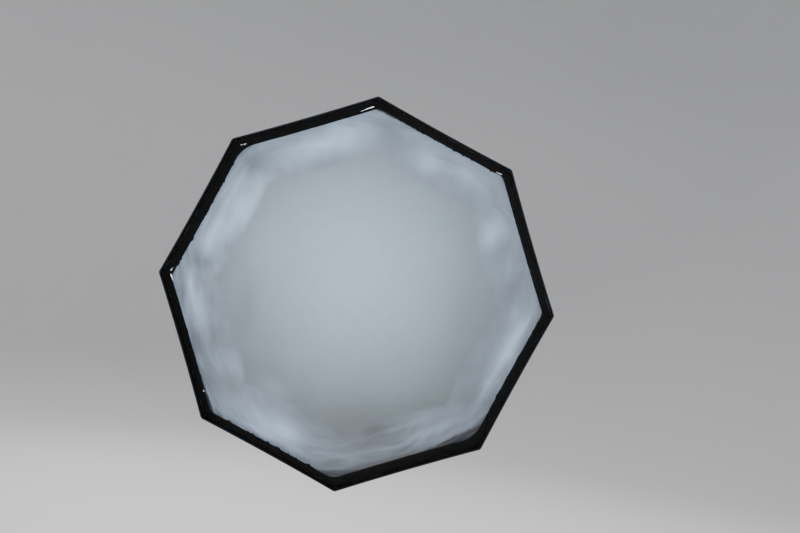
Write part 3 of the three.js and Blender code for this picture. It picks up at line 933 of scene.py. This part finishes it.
def make_hem(finish):
    """The hook-and-loop band from the lip in over the diffuser's edge."""
    columns = 11
    outer = octagon(HEM_R - 1.2 * MM, 12 * MM, EDGE_STEPS * 3, CORNER_STEPS, LIP_BOW)
    inner = hem_line(EDGE_STEPS * 3)
    points = []
    cloth = []
    wide = HEM_R - DIFFUSER_R
    for i in range(columns):
        travel = i / (columns - 1)  # from the inner edge outwards
        for (x0, up0, edge, share), (x1, up1, _, _), along in zip(inner, outer, lengths_round(outer)):
            facing = facing_of(edge)
            reach = ruffle(edge, share) * (1 - travel) ** 2
            x = x0 + (x1 - x0) * travel - reach * math.sin(facing)
            up = up0 + (up1 - up0) * travel - reach * math.cos(facing)
            ripple = 1.6 * MM * wobble(edge * 4 + share * 16, travel * 2, 31.0) * (1 - travel)
            points.append((x, DIFFUSER_Y - 0.6 * MM + ripple - reach * 0.3, AXIS_Z + up))
            cloth.append((travel * wide, along, near_corner(travel) * wide))
    faces = grid_faces(columns, len(outer), wrap=True)
    made = piece("hem", points, faces, [finish], "softbox", cloth)
    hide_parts("diffuser_hem")
    thicken(made, 1.0 * MM)
    around = lengths_round(outer)[-1]


# The light that reaches the diffuser: a soft pool from the bulb inside the baffle's outline, and outside
# it the creased lining's uneven light. Each place is across, up (metres from the axis), its half-length
# and half-width, the turn of its long way from +X in degrees, and how much brighter it is.
POOL_CENTRE = (-0.015, 0.085)
POOL_SPREAD = 0.47
POOL_LEVEL = 0.76
RING_LEVEL = 0.355
LIT_RING = (
    (-0.130, 0.445, 0.110, 0.042, 22.5, 0.30),
    (-0.030, 0.520, 0.060, 0.020, 22.5, 0.10),
    (0.075, 0.490, 0.050, 0.045, -22.5, -0.08),
    (0.168, 0.430, 0.045, 0.036, -22.5, 0.19),
    (0.300, 0.395, 0.070, 0.030, -22.5, 0.12),
    (0.385, 0.225, 0.050, 0.036, 67.5, 0.24),
    (0.490, 0.000, 0.030, 0.020, 80, 0.09),
    (0.475, -0.120, 0.105, 0.024, 67.5, 0.30),
    (0.370, -0.290, 0.060, 0.040, 45, -0.05),
    (0.262, -0.398, 0.085, 0.014, 27, 0.17),
    (0.235, -0.375, 0.060, 0.030, 25, 0.06),
    (0.090, -0.430, 0.130, 0.055, 8, -0.05),
    (-0.175, -0.442, 0.085, 0.042, -22.5, 0.34),
    (-0.300, -0.385, 0.075, 0.030, -22.5, 0.22),
    (-0.370, -0.250, 0.060, 0.040, 112, 0.10),
    (-0.478, -0.090, 0.080, 0.024, 110, 0.25),
    (-0.430, 0.020, 0.060, 0.050, 90, 0.09),
    (-0.372, 0.215, 0.080, 0.046, 67.5, 0.43),
    (-0.445, 0.115, 0.060, 0.032, 67.5, 0.25),
    (-0.322, 0.285, 0.045, 0.028, 67.5, 0.18),
    (-0.475, 0.050, 0.035, 0.028, 70, -0.11),
    (-0.508, -0.028, 0.050, 0.012, 97, 0.24),
    (-0.455, 0.135, 0.070, 0.009, 74, 0.14),
    (-0.400, 0.290, 0.060, 0.008, 67, 0.12),
    (0.160, -0.455, 0.120, 0.006, 16, 0.07),
    (-0.020, -0.500, 0.090, 0.007, -2, 0.08),
    (0.120, -0.415, 0.160, 0.006, 24, 0.06),
    (-0.240, -0.455, 0.120, 0.010, -22.5, 0.18),
    (0.505, -0.070, 0.060, 0.010, 67.5, 0.20),
    (0.430, -0.235, 0.070, 0.010, 66, 0.12),
    (-0.135, 0.468, 0.100, 0.030, 22.5, 0.10),
    (-0.235, 0.405, 0.050, 0.040, 22.5, 0.12),
    (-0.440, 0.230, 0.090, 0.025, 67.5, 0.17),
    (-0.470, 0.120, 0.050, 0.030, 67.5, 0.12),
    (-0.360, 0.360, 0.035, 0.030, 45, -0.14),
    (0.000, 0.525, 0.035, 0.020, 0, -0.14),
    (0.470, 0.060, 0.090, 0.020, 80, -0.07),
    (0.110, -0.408, 0.060, 0.026, 15, -0.07),
    (-0.190, -0.345, 0.060, 0.030, -22, 0.08),
    (-0.250, -0.430, 0.080, 0.020, -22, 0.10),
    (-0.290, -0.290, 0.060, 0.040, -45, 0.10),
    (0.290, -0.290, 0.050, 0.035, 45, 0.07),
)
LIT_POOL = (
    (-0.225, -0.320, 0.055, 0.028, -20, 0.11),
    (-0.300, 0.120, 0.120, 0.080, 80, 0.05),
    (0.330, -0.020, 0.150, 0.045, 90, -0.03),
    (-0.330, -0.060, 0.100, 0.030, 95, -0.06),
    (0.040, -0.360, 0.180, 0.060, 5, -0.03),
)
# Folds across a corner, with cloth gathered under the hem beyond them, where less light comes through:
# the corner number, how far along the edge before it the fold starts and along the edge after it the fold
# ends, how far inside the hem's line the fold stands there, and how dark the gathered cloth is.
CORNER_FOLDS = (
    (0, 4 * MM, 130 * MM, 4 * MM, 0.55),
    (1, 5 * MM, 40 * MM, 2 * MM, 0.40),
    (2, 6 * MM, 48 * MM, 2 * MM, 0.45),
    (3, 54 * MM, 200 * MM, 3 * MM, 0.80),
    (3, 95 * MM, 70 * MM, 3 * MM, 0.24),
    (4, 105 * MM, 56 * MM, 1 * MM, 0.58),
    (5, 4 * MM, 52 * MM, 4 * MM, 0.90),
    (6, 12 * MM, 6 * MM, 1 * MM, 0.30),
    (7, 60 * MM, 52 * MM, 1 * MM, 0.24),
)
FOLD_REACH = 0.2  # from the corner, where a fold has died away


def brush(places, x, up):
    """The sum of soft oval places here."""
    total = 0.0
    for across, high, long, wide, turn, more in places:
        angle = math.radians(turn)
        run = ((x - across) * math.cos(angle) + (up - high) * math.sin(angle)) / long
        rise = ((up - high) * math.cos(angle) - (x - across) * math.sin(angle)) / wide
        if abs(run) < 3 and abs(rise) < 3:
            total += more * math.exp(-run * run - rise * rise)
    return total


def beyond_baffle(x, up):
    """0 where the inner baffle is behind the diffuser and 1 outside it."""
    facing = facing_of(math.floor(math.atan2(x, up) / SECTOR))
    out = x * math.sin(facing) + up * math.cos(facing)
    side = x * math.cos(facing) - up * math.sin(facing)
    half = BAFFLE_R * math.sin(HALF_SECTOR)
    edge = BAFFLE_R * math.cos(HALF_SECTOR) - 12 * MM * (1 - min(1, abs(side) / half) ** 2)
    return smooth_rise(out, edge - 9 * MM, edge + 13 * MM)


def inside_hem(x, up):
    """Metres in from the nearest edge of the hem's line."""
    away = []
    for k in range(SIDES):
        out = DIFFUSER_APOTHEM - HEM_REACH[k]
        away.append(out - x * math.sin(facing_of(k)) - up * math.cos(facing_of(k)))
    return max(0.0, min(away))


def gathered(x, up):
    """How dark the corners' gathers make the cloth here: less of the lamp's light comes through, and the same
    share darkens the cloth's base colour as painted shade.
    """
    dark = 0.0
    place = Vector((x, up))
    for corner, before, after, inside, depth in CORNER_FOLDS:
        vertex = octagon_corner(corner)
        if (place - vertex).length < FOLD_REACH:
            start = vertex + (octagon_corner(corner - 1) - vertex).normalized() * before
            end = vertex + (octagon_corner(corner + 1) - vertex).normalized() * after
            along = (end - start).normalized()
            past = (place - start).cross(along) * math.copysign(1, (vertex - start).cross(along))
            past += inside + 2.5 * MM * wobble((place - start).dot(along) * 60, corner * 3.0)
            ribs = 1 + 0.7 * wobble((place - start).dot(along) * 16, past * 210, corner * 5.0)
            dark = max(dark, depth * ribs * smooth_rise(past, 0, 7 * MM))
    return min(0.95, dark)


def octagon_corner(corner):
    """A corner of the diffuser's own octagon: across and up from the axis."""
    return Vector((math.sin(corner * SECTOR), math.cos(corner * SECTOR))) * DIFFUSER_R


def streaks(x, up, from_edge):
    """Fine creases round the cloth, -1 to 1, strongest at the lower left and dying away from the hem."""
    turn = math.atan2(x, up)
    out = math.hypot(x, up)
    round_x = x / out
    round_up = up / out
    slant = out + 0.035 * math.sin(turn * 3 + 1.1) + 0.03 * wobble(round_x * 3, round_up * 3, 12.0)
    finest = wobble(round_x * 9, round_up * 9 + 4, slant * 190)
    fine = wobble(round_x * 6, round_up * 6, slant * 80)
    broad = wobble(round_x * 8 + 9, round_up * 8, slant * 26)
    strength = 0.45 + 0.55 * smooth_rise(-0.5 * round_x - round_up, -0.4, 0.8)
    return strength * (0.6 * finest + 0.8 * fine + 0.6 * broad) * math.exp(-from_edge / 0.085)


def lit_amount(x, up, from_edge):
    """How brightly the cloth glows here."""
    away = math.hypot(x - POOL_CENTRE[0], up - POOL_CENTRE[1]) / POOL_SPREAD
    pool = POOL_LEVEL * math.exp(-away * away) + brush(LIT_POOL, x, up)
    pool += 0.02 * wobble(x * 6, up * 6, 8.0)
    ring = RING_LEVEL + 0.17 * up + brush(LIT_RING, x, up)
    ring *= 1 + 0.13 * wobble(x * 14, up * 14, 4.0) + 0.42 * streaks(x, up, from_edge)
    beyond = beyond_baffle(x, up)
    light = pool + (ring - pool) * beyond
    light *= 1 + 0.07 * wobble(x * 33, up * 33, 6.0) * (0.3 + 0.7 * beyond)
    under = smooth_rise(-up, 0.38, 0.46) * smooth_rise(x, -0.06, 0.02)
    light *= 1 - (0.12 + 0.45 * under) * math.exp(-from_edge / (0.006 + 0.005 * under))
    return light


def make_diffuser(finish):
    """The front cloth, drawn tight to the hem, slightly full in the middle."""
    overlap = 9 * MM
    outline = octagon(DIFFUSER_R + overlap, 44 * MM, EDGE_STEPS, CORNER_STEPS, 2.5 * MM)
    rings = 78
    points = [(0, DIFFUSER_Y - 3 * MM, AXIS_Z)]
    cloth = [(0, 0, DIFFUSER_R)]
    glow = [POOL_LEVEL]
    beyond = [0.0]
    gather = [0.0]
    for i in range(1, rings + 1):
        scale = 1 - (1 - i / rings) ** 1.5
        for x0, up0, _, _ in outline:
            x = x0 * scale
            up = up0 * scale
            inside = inside_hem(x, up)
            pull = streaks(x, up, inside) * (1 - math.exp(-inside / 0.012))
            gather.append(gathered(x, up))
            fold = gather[-1] * (1 - math.exp(-inside / 0.004))
            y = DIFFUSER_Y + 1.8 * MM - 4.5 * MM * (1 - scale**2) + 2.2 * MM * pull - 2.5 * MM * fold
            points.append((x, y, AXIS_Z + up))
            cloth.append((x, up, inside))
            glow.append(lit_amount(x, up, inside) * (1 - gather[-1]))
            beyond.append(beyond_baffle(x, up))
    faces = disc_faces(rings, len(outline))
    shares = {"glow": glow, "beyond": beyond, "gather": gather}
    made = piece("diffuser", points, faces, [finish], "softbox", cloth, shares)
    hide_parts("front_diffuser")
    thicken(made, 0.5 * MM)


# Slits where the hem stands off the lip beside a corner, and the lamp's own light shows: the corner
# number, the side of it, how far along and how far outside the diffuser's line they start, their length
# and their greatest width.
LIGHT_LEAKS = (
    (0, -1, 8 * MM, 8.5 * MM, 44 * MM, 3.0 * MM),
    (7, 1, 12 * MM, 8.0 * MM, 9 * MM, 2.6 * MM),
    (7, 1, 3 * MM, 9.0 * MM, 6 * MM, 1.6 * MM),
    (6, -1, 2 * MM, 3.6 * MM, 22 * MM, 3.4 * MM),
    (6, 1, 4 * MM, 6.0 * MM, 13 * MM, 1.6 * MM),
    (1, -1, 6 * MM, 6.0 * MM, 19 * MM, 1.6 * MM),
    (5, 1, 60 * MM, 6.0 * MM, 6 * MM, 2.0 * MM),
)


def make_light_leaks(finish):
    """Each is a small lens-shaped window with one blunt and one drawn-out end."""
    steps = 14
    points = []
    faces = []
    reach = DIFFUSER_R * math.sin(HALF_SECTOR)
    for corner, side, along, out, length, width in LIGHT_LEAKS:
        first = len(points)
        facing = facing_of(corner if side > 0 else corner - 1)
        outward = Vector((math.sin(facing), 0, math.cos(facing)))
        onward = Vector((math.cos(facing), 0, -math.sin(facing))) * side
        start = Vector((0, DIFFUSER_Y - 3.2 * MM, AXIS_Z)) + outward * (DIFFUSER_APOTHEM + out)
        start = start - onward * (reach - along)
        for i in range(steps + 1):
            travel = i / steps
            half = width / 2 * math.sqrt(min(1, travel * 6)) * (1 - travel) ** 1.3 + 0.06 * MM
            centre = start + onward * (travel * length) - outward * (0.07 * length * travel * travel)
            bulge = Vector((0, 0.5 * MM * math.sin(math.pi * travel), 0))
            points += [centre + outward * half, centre - bulge, centre - outward * half]
        faces += shifted(grid_faces(steps + 1, 3, flip=side < 0), first)
    made = piece("light_leaks", points, faces, [finish], "softbox")
    thicken(made, 0.3 * MM, offset=0)


def make_baffle(finish):
    """The inner cloth, its sides drawn in between its eight straps."""
    outline = octagon(BAFFLE_R, 14 * MM, 32, 6, 16 * MM)
    rings = 24
    points = [(0, BAFFLE_Y, AXIS_Z)]
    cloth = [(0, 0, 0.3)]
    for i in range(1, rings + 1):
        scale = i / rings
        for x0, up0, edge, share in outline:
            pull = wobble(edge * 6 + share * 18, scale * 3, 44.0) * scale**6
            points.append((x0 * scale, BAFFLE_Y + 2 * MM * pull, AXIS_Z + up0 * scale))
            cloth.append((x0 * scale, up0 * scale, (1 - scale) * BAFFLE_R))
    faces = disc_faces(rings, len(outline))
    made = piece("baffle", points, faces, [finish], "softbox", cloth)
    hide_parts("inner_baffle")
    thicken(made, 0.5 * MM)


def make_baffle_straps(finish):
    """Elastic from each corner of the baffle to its rod, waisted by its own tension."""
    start = strap_low.z - AXIS_Z
    end = strap_high.z - AXIS_Z
    half = (strap_high.x - strap_low.x) / 2
    steps = 12
    columns = 7
    points = []
    cloth = []
    faces = []
    for k in range(SIDES):
        first = len(points)
        turn = Matrix.Rotation(k * SECTOR, 4, "Y")
        for i in range(steps + 1):
            travel = i / steps
            wide = half * (1 - 0.18 * math.sin(math.pi * travel))
            for j in range(columns):
                offset = 2 * j / (columns - 1) - 1
                y = BAFFLE_Y + 0.3 * MM * wobble(travel * 8, offset, k)
                placed = turn @ Vector((offset * wide, y, start + (end - start) * travel))
                points.append((placed.x, placed.y, placed.z + AXIS_Z))
                cloth.append((offset * wide, travel * (end - start), (1 - abs(offset)) * wide))
        faces += shifted(grid_faces(steps + 1, columns), first)
    made = piece("baffle_straps", points, faces, [finish], "softbox", cloth)
    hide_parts(*[f"baffle_strap_{k + 1}" for k in range(SIDES)])
    thicken(made, 1.2 * MM)


# The cuff, from its sewn end on the shell to the lamp head: how far over the shell each row lies and how
# high above it, then the free cloth's radius and y in millimetres and the depth of its gathers there.
CUFF_ON_SHELL = ((9 * MM, 2.0 * MM), (5 * MM, 2.6 * MM), (0.5 * MM, 2.6 * MM))
CUFF_PROFILE = (
    (104.0, -80.0, 0.2), (102.6, -72.0, 0.6), (100.8, -64.5, 0.9), (98.5, -58.6, 1.0), (94.0, -55.4, 1.2),
    (88.0, -52.6, 1.5), (81.0, -49.8, 1.7), (74.5, -47.4, 1.7), (69.0, -45.6, 1.4), (64.5, -44.2, 1.1),
    (60.5, -43.0, 0.8), (57.8, -41.4, 0.4), (56.6, -39.0, 0.3), (56.4, -35.5, 0.3), (57.4, -33.6, 0.3),
    (58.8, -33.4, 0.2),
)
CUFF_PLEATS = 46
CUFF_COLUMNS = 240


def cuff_on_shell(turn, ahead, lift):
    """A point of the cuff's sewn end, which lies over the panels' rear edge."""
    panel = math.floor(turn / SECTOR)
    across = math.tan(turn - facing_of(panel)) / math.tan(HALF_SECTOR)
    return shell_point(panel, 0.5 + across / 2, PANEL_START_ANGLE - ahead / ARC_R, lift)


def cuff_free(turn, radius, y, gather):
    """A point of its free cloth, eight-sided at the shell and round at the lamp head."""
    octagonal = math.cos(HALF_SECTOR) / math.cos((turn % SECTOR) - HALF_SECTOR)
    rounder = smooth_rise(-y * MM, 45 * MM, 80 * MM)
    shape = 1 + (octagonal - 1) * rounder - 0.02 * (1 - rounder)
    pleat = math.sin(turn * CUFF_PLEATS + 2.5 * wobble(turn * 3, 0, 1)) * (0.7 + 0.5 * wobble(turn * 6, 2, 2))
    return round_axis((radius * shape + 0.75 * gather * pleat) * MM, turn, (y + 0.3 * pleat * gather) * MM)


def make_cuff(finish):
    """The gathered cloth between the shell and the lamp head, drawn in by elastic."""
    turns = [math.tau * j / CUFF_COLUMNS for j in range(CUFF_COLUMNS)]
    points = []
    cloth = []
    for ahead, lift in CUFF_ON_SHELL:
        for turn in turns:
            points.append(cuff_on_shell(turn, ahead, lift))
            cloth.append((PANEL_START_R * turn, -85 * MM - ahead, 9.5 * MM - ahead))
    for radius, y, gather in CUFF_PROFILE:
        for turn in turns:
            points.append(cuff_free(turn, radius, y, gather))
            cloth.append((radius * turn * MM, y * MM, UNSEWN))
    faces = grid_faces(len(CUFF_ON_SHELL) + len(CUFF_PROFILE), CUFF_COLUMNS, wrap=True)
    made = piece("cuff", points, faces, [finish], "softbox", cloth)
    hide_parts("rear_cuff")
    thicken(made, 1.0 * MM)


# ---------------------------------------------------------------- hardware kept from the frame

HARDWARE_EDGE = 0.5 * MM


def dress(node, finish):
    """A CAD node keeps its mesh. It gets rounded edges and its finish."""
    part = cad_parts[node]
    part.data.materials.clear()
    part.data.materials.append(finish)
    for polygon in part.data.polygons:
        polygon.use_smooth = True
    weld = part.modifiers.new("weld", "WELD")
    weld.merge_threshold = 0.01 * MM
    flat = part.modifiers.new("flat", "DECIMATE")
    flat.decimate_type = "DISSOLVE"
    flat.angle_limit = math.radians(1)
    round_edges(part, HARDWARE_EDGE)
    part.modifiers.new("shading", "WEIGHTED_NORMAL")


# ---------------------------------------------------------------- small hardware

COVER_SCREWS = 4
SCREW_CIRCLE = 41 * MM  # from the optical axis
SCREW_HEAD = 3.4 * MM
SCREW_SOCKET = 1.45 * MM


def hexagonal(radius, turn):
    """A hexagon's distance from its middle in this direction. radius is out to its corners."""
    return radius * math.cos(math.pi / 6) / math.cos(turn % (math.pi / 3) - math.pi / 6)


def make_cover_screws(finish):
    """Four domed screws with hexagonal sockets hold the rear cover on."""
    sides = 36
    rings = (  # radius, height above the cover, and whether it belongs to the hexagonal socket
        (SCREW_HEAD, -0.3 * MM, False),
        (SCREW_HEAD, 0.7 * MM, False),
        (SCREW_HEAD * 0.93, 1.25 * MM, False),
        (SCREW_HEAD * 0.75, 1.7 * MM, False),
        (SCREW_HEAD * 0.55, 1.9 * MM, False),
        (SCREW_SOCKET, 1.95 * MM, True),
        (SCREW_SOCKET * 0.96, 0.6 * MM, True),
        (SCREW_SOCKET * 0.3, 0.5 * MM, True),
    )
    points = []
    faces = []
    for k in range(COVER_SCREWS):
        first = len(points)
        x = SCREW_CIRCLE * math.sin(k * math.tau / COVER_SCREWS)
        z = AXIS_Z + SCREW_CIRCLE * math.cos(k * math.tau / COVER_SCREWS)
        for radius, out, in_socket in rings:
            for j in range(sides):
                turn = math.tau * j / sides
                reach = hexagonal(radius, turn + k) if in_socket else radius
                points.append((x + reach * math.sin(turn), COVER_BACK + out, z + reach * math.cos(turn)))
        faces += shifted(grid_faces(len(rings), sides, wrap=True, flip=True), first)
        last = first + (len(rings) - 1) * sides
        faces.append(tuple(last + j for j in range(sides)))
        faces.append(tuple(first + j for j in reversed(range(sides))))
    made = piece("cover_screws", points, faces, [finish], "lamp_head")
    round_edges(made, 0.12 * MM)


def make_dial_scale(finish):
    """Printed marks round the dimmer's dial, thicker at every fifth."""
    marks = 11
    sweep = math.radians(270)
    box_faces = ((0, 1, 2, 3), (7, 6, 5, 4), (0, 4, 5, 1), (1, 5, 6, 2), (2, 6, 7, 3), (3, 7, 4, 0))
    points = []
    faces = []
    for i in range(marks):
        turn = sweep * (i / (marks - 1) - 0.5)
        half = (0.45 if i % 5 == 0 else 0.28) * MM
        reach = (3.4 if i % 5 == 0 else 2.4) * MM
        across = Vector((math.cos(turn), 0, -math.sin(turn)))
        out = Vector((math.sin(turn), 0, math.cos(turn)))
        base = Vector((DIAL_X, COVER_BACK, DIAL_Z)) + out * (DIAL_R + 1.6 * MM)
        first = len(points)
        for depth in (-0.1 * MM, 0.12 * MM):
            for side, far in ((-1, 0), (1, 0), (1, 1), (-1, 1)):
                points.append(base + across * half * side + out * reach * far + Vector((0, depth, 0)))
        faces += shifted(box_faces, first)
    piece("dial_scale", points, faces, [finish], "lamp_head", smooth=False)


def round_dial(radius, turn, y):
    """A point at this radius from the dial's own axis."""
    return (DIAL_X + radius * math.sin(turn), y, DIAL_Z + radius * math.cos(turn))


def make_dial_grip(finish):
    """The dial's knurled rubber band."""
    ribs = 40
    sides = ribs * 6
    turns = [math.tau * j / sides for j in range(sides)]
    low = COVER_BACK + 2.2 * MM
    high = dial_high.y - 1.6 * MM
    rows = (  # share of the band's fullness, and y
        (0.0, low),
        (0.9, low + 0.3 * MM),
        (1, low + 0.9 * MM),
        (1, high - 0.9 * MM),
        (0.9, high - 0.3 * MM),
        (0.0, high),
    )
    points = []
    for full, y in rows:
        for turn in turns:
            rib = 0.25 * MM * max(-0.4, math.cos(turn * ribs))
            points.append(round_dial(DIAL_R - 0.2 * MM + full * (0.95 * MM + rib), turn, y))
    faces = grid_faces(len(rows), sides, wrap=True)
    inner = len(points)
    for y in (low, high):
        points += [round_dial(DIAL_R - 0.5 * MM, turn, y) for turn in turns]
    last = (len(rows) - 1) * sides
    for j in range(sides):
        k = (j + 1) % sides
        faces.append((inner + j, inner + k, k, j))
        faces.append((last + j, last + k, inner + sides + k, inner + sides + j))
        faces.append((inner + sides + j, inner + sides + k, inner + k, inner + j))
    piece("dial_grip", points, faces, [finish], "dial")


# ---------------------------------------------------------------- stage

FLOOR_Z = -1.15
FLOOR_R = 5.0  # where the floor begins to curve up
BEND_R = 2.5
BEND_STEPS = 12
WALL_HIGH = 6.0
LIGHTS = (  # name, place, diameter and power
    ("left_window", (-3.2, -2.2, 2.6), 2.2, 60),
    ("right_window", (3.4, 0.6, 2.8), 2.2, 90),
    ("back_window", (-1.6, 3.4, 2.8), 2.4, 130),
    ("top_window", (0.4, 0.6, 3.9), 2.6, 110),
)
LIGHTS_AIM = Vector((0, -0.25, AXIS_Z))


def make_stage(finish):
    """A round floor that curves up into a wall, the same from every side."""
    profile = [(0.01, FLOOR_Z), (2.0, FLOOR_Z), (FLOOR_R, FLOOR_Z)]
    for i in range(1, BEND_STEPS + 1):
        angle = math.pi / 2 * i / BEND_STEPS
        profile.append((FLOOR_R + BEND_R * math.sin(angle), FLOOR_Z + BEND_R * (1 - math.cos(angle))))
    profile.append((FLOOR_R + BEND_R, FLOOR_Z + WALL_HIGH))
    columns = 96
    points = []
    for radius, z in profile:
        for j in range(columns):
            turn = math.tau * j / columns
            points.append((radius * math.cos(turn), radius * math.sin(turn) - 0.3, z))
    made = piece("studio_floor", points, grid_faces(len(profile), columns, wrap=True), [finish])


def make_light(name, place, size, power):
    """A soft round light, aimed at the softbox."""
    data = bpy.data.lights.new(name, "AREA")
    data.shape = "DISK"
    data.size = size
    data.energy = power
    light = bpy.data.objects.new(name, data)
    bpy.context.scene.collection.objects.link(light)
    light.location = place
    aim = LIGHTS_AIM - Vector(place)
    light.rotation_euler = aim.to_track_quat("-Z", "Y").to_euler()


def make_sky():
    """Faint light from all round."""
    world = bpy.data.worlds.new("studio")
    bpy.context.scene.world = world
    world.use_nodes = True
    sky = world.node_tree.nodes["Background"]
    sky.inputs["Color"].default_value = (0.92, 0.95, 1.0, 1)
    sky.inputs["Strength"].default_value = 0.25


# ---------------------------------------------------------------- everything

make_camera()
make_stage(studio_grey())
for settings in LIGHTS:
    make_light(*settings)
make_sky()

nylon = black_nylon()
tape = binding_tape()
plastic = moulded("black_plastic", (0.011, 0.011, 0.0115), (0.021, 0.021, 0.022), 0.42)
head_plastic = moulded("head_shell", (0.014, 0.0145, 0.0155), (0.024, 0.0245, 0.026), 0.5, 0.35 * MM, 520.0)
casting = painted_casting()
zinc = bare_metal("zinc_steel", (0.42, 0.43, 0.44), (0.56, 0.57, 0.58), 0.25)
aluminium = bare_metal("turned_aluminium", (0.62, 0.63, 0.64), (0.74, 0.75, 0.76), 0.22)
spring_steel = bare_metal("spring_steel", (0.36, 0.37, 0.39), (0.48, 0.49, 0.51), 0.28)
nickel = bare_metal("nickel_plate", (0.55, 0.53, 0.49), (0.66, 0.64, 0.60), 0.22)
white_plastic = moulded("bulb_plastic", (0.70, 0.70, 0.68), (0.76, 0.76, 0.74), 0.4, 0.1 * MM)

shell, shell_flat, shell_cut = make_shell([nylon, silver_lining()])
sewn_on = [make_seam_bindings(tape), make_corner_patches(tape)]
make_rim_piping(tape)
make_lip([nylon, shaded_lip_nylon()])
make_hem(loop_tape())
make_diffuser(lit_diffuser())
make_light_leaks(leak_light())
make_baffle_straps(tape)
make_baffle(baffle_cloth())
make_cuff(nylon)

FINISH_OF = {
    "speedring": casting, "front_plate": casting, "tilt_fork": casting, "stand_receiver": casting,
    "mount_insert": aluminium, "retaining_ring": zinc, "tilt_bolt": zinc, "bulb_base": nickel,
    "head_barrel": head_plastic, "rear_cover": head_plastic, "lamp_socket": porcelain(),
    "bulb_body": white_plastic, "bulb_globe": opal_globe(), "mains_inlet": plastic,
    "switch_bezel": plastic, "switch_rocker": plastic, "dimmer_dial": plastic, "tilt_lever": plastic,
    "stand_screw": plastic, "ring_lock_screw": plastic,
}
for k in range(SIDES):
    FINISH_OF[f"rod_{k + 1}"] = spring_steel
    FINISH_OF[f"rod_tip_{k + 1}"] = plastic
for node, finish in FINISH_OF.items():
    dress(node, finish)
make_cover_screws(zinc)
make_dial_scale(white_plastic)
make_dial_grip(plastic)
